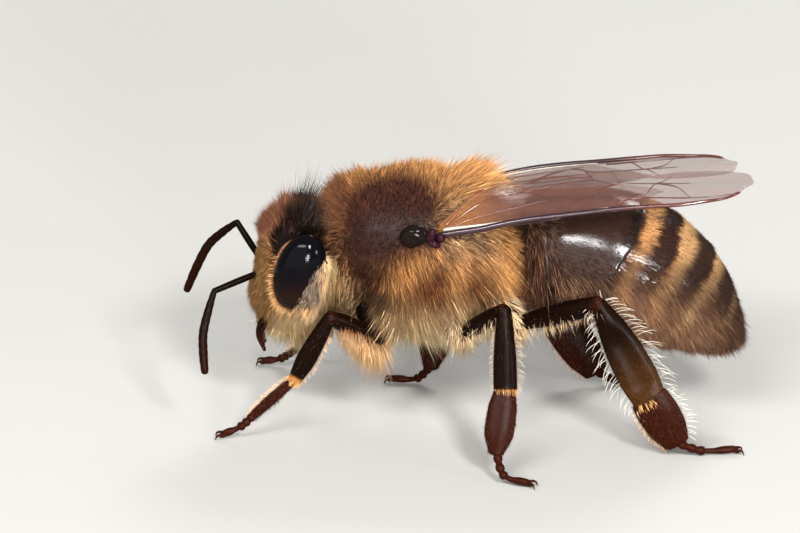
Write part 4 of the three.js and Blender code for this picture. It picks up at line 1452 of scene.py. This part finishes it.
class BeeColours(bpy.types.PropertyGroup):
    """The colours of the bee's shell, hair and wings"""

    shell: colour("Shell", "Waxed black plates of the head and the rear edges of the rings", "#100a08")
    shell_brown: colour("Brown shell", "Cuticle under the fur", "#2e1c12")
    shield: colour("Shield", "Bald discs of the thorax", "#20100e")
    collar_hair: colour("Collar hair", "Short dark hair on the front of the thorax's sides", "#603c28")
    shield_hair: colour("Shield hair", "Short hair on the thorax's bald discs", "#4c2c20")
    rim: colour("Eye rim", "Narrow rim round each compound eye", "#a5704c")
    eye: colour("Eye", "Compound eyes", "#050406")
    eye_low: colour("Lower eye", "The brown lower end of the eyes", "#150a06")
    abdomen: colour("Abdomen", "Dark brown plates of the rings", "#20110c")
    band_skin: colour("Band skin", "Plates under the pale hair bands", "#7a4c2a")
    crown_tip: colour("Crown hair, tips", "Dark hair of the crown", "#704731")
    crown_root: colour("Crown hair, roots", "Dark hair of the crown", "#1c100a")
    crown_dark: colour("Rear crown hair", "Nearly black hair behind the crown", "#0b0604")
    gena_tip: colour("Gena hair, tips", "Grey hair behind the eyes", "#bca890")
    gena_root: colour("Gena hair, roots", "Grey hair behind the eyes", "#4a3a2e")
    face_tip: colour("Face hair, tips", "Hair of the face", "#cc9a60")
    face_root: colour("Face hair, roots", "Hair of the face", "#5c3519")
    cream_tip: colour("Cream hair, tips", "Hair of the cheeks, beard and underside", "#f5d3a2")
    cream_root: colour("Cream hair, roots", "Hair of the cheeks, beard and underside", "#d8a066")
    gold_tip: colour("Gold hair, tips", "Hair of the thorax", "#d89b5c")
    gold_root: colour("Gold hair, roots", "Hair of the thorax", "#62331a")
    band_tip: colour("Band hair, tips", "Pale bands of the abdomen", "#deb682")
    band_root: colour("Band hair, roots", "Pale bands of the abdomen", "#b07c4a")
    t1_hair: colour("First ring's hair, tips", "Hair of the abdomen's first ring", "#64422e")
    flank_tip: colour("Flank hair, tips", "Hair on the sides of the abdomen", "#a2775a")
    stripe_hair_tip: colour("Stripe hair, tips", "Dark stripes of the abdomen", "#3c261c")
    stripe_hair_root: colour("Stripe hair, roots", "Dark stripes of the abdomen", "#180e0a")
    leg: colour("Leg", "Dark brown legs", "#090402")
    leg_red: colour("Foot", "Redder feet", "#250c05")
    leg_hair: colour("Leg hair", "Short bristles of the legs", "#5a3520")
    comb: colour("Comb", "Gold spines at the end of each tibia", "#e8b06a")
    amber: colour("Amber", "The pale end of a tibia", "#96602f")
    bristle_tip: colour("Bristle, tips", "Gold bristles round the eyes and on the feet", "#f0b878")
    silver: colour("Silver bristle", "Long hairs of the hind legs", "#e8e0cf")
    film: colour("Wing film", "The smoky membrane", "#5e3e34")
    vein: colour("Vein", "Rust-brown wing veins", "#43190d")
    costa: colour("Front vein", "The thick front edge of the wing", "#200b12")


def millimetres(name, description, default):
    """A length property of the coat, in millimetres."""
    return FloatProperty(name=name, description=f"{description}, mm", default=default, min=0.005)


def hairs(name, description, default):
    """A property for a number of hairs."""
    return IntProperty(name=name, description=description, default=default, min=100)


class BeeCoat(bpy.types.PropertyGroup):
    """The sizes and the number of hairs of the coat"""

    width: millimetres("Hair width", "Thickness at the root", 0.024)
    head_length: millimetres("Head hair", "Typical length", 0.36)
    thorax_length: millimetres("Thorax hair", "Typical length", 0.6)
    abdomen_length: millimetres("Abdomen hair", "Typical length", 0.36)
    head_count: hairs("Head hairs", "Number of hairs", 52000)
    under_count: hairs("Thorax underhairs", "Number of short hairs under the long ones", 80000)
    thorax_count: hairs("Thorax hairs", "Number of long hairs", 32000)
    abdomen_count: hairs("Abdomen hairs", "Number of hairs", 80000)


class BeeStudio(bpy.types.PropertyGroup):
    """The floor, the view and the light"""

    paper: colour("Paper", "The pale floor", "#9c9a96")
    elevation: FloatProperty(
        name="Camera elevation",
        description="Angle above the floor",
        default=math.radians(22),
        subtype="ANGLE",
    )
    distance: FloatProperty(name="Camera distance", description="To the bee", default=0.25, unit="LENGTH")
    key: FloatProperty(name="Key light", description="Power of the main lamp, W", default=0.85, min=0)
    fill: FloatProperty(name="Fill light", description="Strength of the even surround", default=0.46, min=0)


# ---- The add-on: operators ----


class BEE_OT_head(bpy.types.Operator):
    """Makes the head's skin, its three small eyes and the mandibles and tongue"""

    bl_idname = "bee.head"
    bl_label = "Head"

    def execute(self, context):
        c = context.scene.bee_colours
        heap = Heap()
        add_form(heap, head_form(), 120, 130, head_tint)
        for side in (LEFT, RIGHT):
            add_form(heap, gena_form(side), 40, 30, c.shell_brown)
        heap.piece("head_skin", finish("polished"), "shell", ["head"])
        for name, centre in OCELLI.items():
            one_form(f"ocellus_{name}", Egg(centre, (0.13, 0.13, 0.11)), 28, 20, c.eye, "eye", "eye", ())
        brown = lambda p, t, w: mix(c.leg, c.leg_red, ramp(w, 0.3, 0.9))
        for name, side in SIDES.items():
            joints = [(x, side * y, z) for x, y, z in MANDIBLE]
            form = bar(joints, [0.14, 0.14, 0.11, 0.05], [0.13, 0.13, 0.1, 0.05], (1, 0, 0))
            piece = f"mandible_{name}"
            one_form(f"{piece}_shell", form, 24, 36, brown, "leg", "shell", [piece])
        form = bar(TONGUE, [0.15, 0.14, 0.12], [0.12, 0.11, 0.1], (0, 1, 0))
        one_form("proboscis_shell", form, 20, 40, c.leg_red, "leg", "shell", ["proboscis"])
        return {"FINISHED"}


class BEE_OT_eyes(bpy.types.Operator):
    """Makes the two compound eyes"""

    bl_idname = "bee.eyes"
    bl_label = "Compound eyes"

    def execute(self, context):
        c = context.scene.bee_colours
        tint = lambda p, t, w: mix(c.eye, c.eye_low, ramp(p[:, 2], 4.9, 4.1))
        for name, side in SIDES.items():
            one_form(f"eye_{name}_lens", eye_form(side), 96, 72, tint, "eye", "eye", [f"eye_{name}"])
        return {"FINISHED"}


class BEE_OT_feelers(bpy.types.Operator):
    """Makes the two feelers: a smooth scape, then a flagellum of ten rings"""

    bl_idname = "bee.feelers"
    bl_label = "Feelers"

    def execute(self, context):
        c = context.scene.bee_colours
        rings = lambda points, turn, way: 0.012 * np.abs(np.sin(np.pi * way * 10)) ** 0.5 - 0.008
        paler = lambda p, t, w: mix(c.leg, c.leg_red, 0.4 * w)
        thin, thick = [0.08, 0.095, 0.085], [0.08, 0.115, 0.125, 0.125, 0.105]
        for name, line in FEELERS.items():
            scape, whip = f"scape_{name}", f"flagellum_{name}"
            form = bar(line[:2], thin, thin, (0, 0, 1))
            one_form(f"{scape}_shell", form, 20, 40, c.leg, "leg", "shell", [scape], (0, 0, 1, 0.45))
            form = bar(line[1:], thick, thick, (0, 0, 1), rings, 0.04)
            one_form(f"{whip}_shell", form, 20, 140, paler, "leg", "shell", [whip], (0, 0.5, 1, 0.45))
        return {"FINISHED"}


class BEE_OT_thorax(bpy.types.Operator):
    """Makes the thorax skin, the neck, the waist and the two shining wing scales"""

    bl_idname = "bee.thorax"
    bl_label = "Thorax"

    def execute(self, context):
        c = context.scene.bee_colours
        one_form("thorax_skin", thorax_form(), 140, 130, thorax_tint, "skin", "shell", ["thorax"])
        for name in NECKS:
            one_form(f"{name}_skin", neck_form(name), 32, 24, c.shell, "skin", "shell", [name])
        rough = lambda points, turn, way: 0.03 * noise(points, 0.25, 6.0)
        for name, side in SIDES.items():
            x, y, z = TEGULA["centre"]
            heap = Heap()
            scale = Egg((x, side * y, z), TEGULA["half"], TEGULA["lean"], rough)
            add_form(heap, scale, 56, 42, c.shell, (0, 0, 1, 0.6))
            for number, (x, y, z, long, high) in enumerate(HINGE_PLATES):
                plate = Egg((x, side * y, z), (long, 0.12, high), 0.35)
                add_form(heap, plate, 24, 18, c.costa, (number / 3, 0.65, 0.3, 0.3))
            heap.piece(f"tegula_{name}_scale", finish("scale"), "shell", [f"tegula_{name}"])
        return {"FINISHED"}


class BEE_OT_abdomen(bpy.types.Operator):
    """Makes the abdomen skin with its six overlapping rings"""

    bl_idname = "bee.abdomen"
    bl_label = "Abdomen"

    def execute(self, context):
        nodes = [f"abdomen_{i}" for i in range(1, 7)]
        one_form("abdomen_skin", abdomen_form(), 140, 240, abdomen_tint, "ring", "shell", nodes)
        return {"FINISHED"}


class BEE_OT_wings(bpy.types.Operator):
    """Makes the four wings: a clear film and its veins"""

    bl_idname = "bee.wings"
    bl_label = "Wings"

    def execute(self, context):
        c = context.scene.bee_colours
        film = lambda p: mix(c.film, c.amber, 0.7 * ramp(p[:, 0], 0.2, -1.3))
        rust = lambda p, t, w: mix(c.vein, c.amber, 0.12 * ramp(p[:, 0], 0.3, -1.0))
        dark = lambda p, t, w: mix(c.costa, c.vein, 0.8 * ramp(p[:, 0], 2.6, 4.6))
        # The subcosta's pale tint is a painted glint.
        pale = mix(c.costa, c.silver, 0.5)
        kinds = (
            ("fore", FOREWING, FORE_VEINS, 0.098, 0.0, [(SUBCOSTA, 0.044, pale)]),
            ("hind", HINDWING, HIND_VEINS, 0.035, -0.2, []),
        )
        for name, side in SIDES.items():
            for kind, wing, veins, edge, low, more in kinds:
                piece = f"{kind}wing_{name}"
                lift = -0.07 * side + low
                heap = Heap()
                wing_plate(heap, wing, side, lift, film)
                heap.piece(f"{piece}_film", finish(f"{kind}_membrane"), "wing", [piece])
                lines = [(wing["costa"][:-2], edge, dark)]
                lines += [(route, 0.8 * radius, rust) for radius, route in veins] + more
                heap = Heap()
                for number, (route, radius, tint) in enumerate(lines):
                    cell = (0, number / len(lines), 1, 0.9 / len(lines))
                    add_form(heap, tube(route, radius, side, lift), 12, 60, tint, cell)
                heap.piece(f"{piece}_veins", finish("vein"), "wing")
        return {"FINISHED"}


class BEE_OT_legs(bpy.types.Operator):
    """Makes the six legs, each of four long segments, four beads and two claws"""

    bl_idname = "bee.legs"
    bl_label = "Legs"

    def execute(self, context):
        c = context.scene.bee_colours
        for name in STANCE:
            kind = name.split("_")[0]
            heap = Heap()
            for number, cell in enumerate(SEGMENT_CELLS):
                add_form(heap, leg_form(name, number), 36, 44, leg_tint(kind, number), cell)
            for number, form in enumerate(tarsus_forms(name)):
                add_form(heap, form, 14, 16, c.leg_red, (number / 7, 0.82, 0.13, 0.16))
            nodes = [f"leg_{name}_{piece}" for piece in (*SEGMENTS, "tarsus")]
            heap.piece(f"leg_{name}_shell", finish("leg"), "leg", nodes)
        return {"FINISHED"}


def body_coats(c, coat):
    """The coats by name: form, hair count, style, seed, number of pieces and the way the hairs gather."""
    head, thorax, abdomen = head_form(), thorax_form(), abdomen_form()
    neck, waist = neck_form("neck"), neck_form("petiole")
    tan, droop = mix(c.face_tip, c.cream_tip, 0.35), (0, 0, -0.3)
    ruff = plain_hair(neck, 0.95, 0.55, c.gold_root, tan, 0.018, None, (-0.1, 0, -1), droop, 0.45)
    sash = plain_hair(waist, 1.05, 0.6, c.gold_root, c.t1_hair, 0.018, None, (0.35, 0, -1), droop, 0.4)
    tufted = dict(rings=1, clump=0.62, flock=16)
    # The under layer is the thorax's own hair again, darkened: painted shade in the depth of the fur.
    under = dict(rings=1, clump=0.45, painted_shade=0.62)
    tangled = dict(clump=0.55, flock=16, loose=0.19)
    sleek = dict(rings=1, clump=0.2, loose=0.08)
    coats = {
        "head_coat": (head, coat.head_count, head_style, 21, 2, tufted),
        "thorax_under": (thorax, coat.under_count, thorax_style, 26, 2, under),
        "thorax_coat": (thorax, coat.thorax_count, thorax_style, 22, 2, tangled),
        "abdomen_coat": (abdomen, coat.abdomen_count, abdomen_style, 23, 2, sleek),
    }
    for name, side in SIDES.items():
        coats[f"gena_{name}_coat"] = (gena_form(side), 5000, gena_style, 27, 1, dict(rings=1))
    coats["neck_coat"] = (neck, 6000, ruff, 28, 1, dict(rings=1, clump=0.5))
    coats["waist_coat"] = (waist, 5000, sash, 29, 1, dict(rings=1, clump=0.5))
    return coats


def head_bristles(c):
    """The head's bristles as a heap: the dark fan behind the crown and the gold ones round the eyes."""
    heap = Heap()
    heap.add(*grow(head_form(), 420, occiput_style, 24, clump=0, loose=0.1))
    rng = np.random.default_rng(25)
    for side in (LEFT, RIGHT):
        root, aim = rim_bristles(side, rng)
        count = len(root)
        spot = np.stack([rng.uniform(0.1, 0.9, count), rng.uniform(0.1, 0.9, count)], -1)
        shade = rng.uniform(0.4, 1.15, (count, 1))
        colours = (flat(count, c.gold_root) * shade, flat(count, c.bristle_tip) * shade)
        length = rng.uniform(0.14, 0.34, count)
        heap.add(*strands(root, aim, length, np.full(count, 0.022), 0 * aim, colours, spot, 2))
    return heap


class BEE_OT_coat(bpy.types.Operator):
    """Grows the coat of the head, the thorax and the abdomen, the bristles and the hair of the legs"""

    bl_idname = "bee.coat"
    bl_label = "Coat"

    def execute(self, context):
        c, coat = context.scene.bee_colours, context.scene.bee_coat
        for name, (form, count, style, seed, parts, manner) in body_coats(c, coat).items():
            coat_pieces(name, grow(form, count, style, seed, **manner), parts, manner.get("rings", 2))
        head_bristles(c).piece("head_bristles", finish("bristle"), "coat")
        for number, name in enumerate(STANCE):
            leg_coat(name, c, 40 + 10 * number).piece(f"leg_{name}_hair", finish("bristle"), "coat")
        return {"FINISHED"}


CAMERA = {"target": (-2.78, 0.0, 4.42), "sensor": 36, "lens": 405.7, "clip_start": 0.01}
LAMPS = {  # place and size in metres, and share of the key light's power
    "key": ((0.07, -0.17, 0.14), (0.04, 0.04), 0.78),
    "bar": ((-0.07, -0.14, 0.16), (0.16, 0.03), 0.6),
    "front": ((0.055, -0.217, 0.036), (0.052, 0.052), 0.9),
    "side": ((0.185, -0.128, 0.049), (0.035, 0.035), 0.2),
    "soft": ((-0.12, -0.2, 0.06), (0.4, 0.4), 0.65),
    "rim": ((0.06, 0.14, 0.13), (0.07, 0.07), 0.3),
}
LAMP_AIM = (0, 0, 0.004)
SKY = (0.95, 0.97, 1.0, 1.0)


class BEE_OT_studio(bpy.types.Operator):
    """Sets the pale floor, the soft lamps and the camera"""

    bl_idname = "bee.studio"
    bl_label = "Studio"

    def execute(self, context):
        scene, studio = context.scene, context.scene.bee_studio
        bpy.ops.mesh.primitive_plane_add(size=4)
        floor = context.object
        floor.name = "studio_floor"
        floor.data.materials.append(finish("floor"))
        rise = studio.elevation
        back = Vector((0, -math.cos(rise), math.sin(rise)))
        lens = bpy.data.cameras.new("camera")
        lens.sensor_width = CAMERA["sensor"]
        lens.lens = CAMERA["lens"]
        lens.clip_start = CAMERA["clip_start"]
        camera = bpy.data.objects.new("camera", lens)
        camera.location = Vector((np.array(CAMERA["target"]) + HOME) * MM) + back * studio.distance
        camera.rotation_euler = back.to_track_quat("Z", "Y").to_euler()
        scene.collection.objects.link(camera)
        scene.camera = camera
        for name, (place, size, share) in LAMPS.items():
            light = bpy.data.lights.new(name, "AREA")
            light.shape = "ELLIPSE"
            light.size, light.size_y = size
            light.energy = studio.key * share
            lamp = bpy.data.objects.new(name, light)
            lamp.location = Vector(place)
            lamp.rotation_euler = (Vector(place) - Vector(LAMP_AIM)).to_track_quat("Z", "Y").to_euler()
            scene.collection.objects.link(lamp)
        world = bpy.data.worlds.new("surround")
        world.use_nodes = True
        sky = world.node_tree.nodes["Background"]
        sky.inputs["Color"].default_value = SKY
        sky.inputs["Strength"].default_value = studio.fill
        scene.world = world
        scene.view_settings.view_transform = "Standard"
        return {"FINISHED"}


class BEE_PT_panel(bpy.types.Panel):
    """Lists the steps in the order in which they are made, then their values"""

    bl_label = "Honey bee"
    bl_space_type = "VIEW_3D"
    bl_region_type = "UI"
    bl_category = "Bee"

    def draw(self, context):
        for step in STEPS:
            self.layout.operator(step.bl_idname)
        for group in (context.scene.bee_colours, context.scene.bee_coat, context.scene.bee_studio):
            box = self.layout.box()
            for name in group.__annotations__:
                box.prop(group, name)


GROUPS = {"bee_colours": BeeColours, "bee_coat": BeeCoat, "bee_studio": BeeStudio}
STEPS = [
    BEE_OT_head,
    BEE_OT_eyes,
    BEE_OT_feelers,
    BEE_OT_thorax,
    BEE_OT_abdomen,
    BEE_OT_wings,
    BEE_OT_legs,
    BEE_OT_coat,
    BEE_OT_studio,
]


def register():
    """Registers the value groups, the steps and the panel."""
    for name, group in GROUPS.items():
        bpy.utils.register_class(group)
        setattr(bpy.types.Scene, name, PointerProperty(type=group))
    for step in STEPS:
        bpy.utils.register_class(step)
    bpy.utils.register_class(BEE_PT_panel)


def unregister():
    """Takes them back in the opposite order."""
    bpy.utils.unregister_class(BEE_PT_panel)
    for step in reversed(STEPS):
        bpy.utils.unregister_class(step)
    for name, group in GROUPS.items():
        delattr(bpy.types.Scene, name)
        bpy.utils.unregister_class(group)


def main():
    """Builds every piece in order."""
    register()
    for step in STEPS:
        area, action = step.bl_idname.split(".")
        getattr(getattr(bpy.ops, area), action)()


if __name__ == "__main__":
    main()
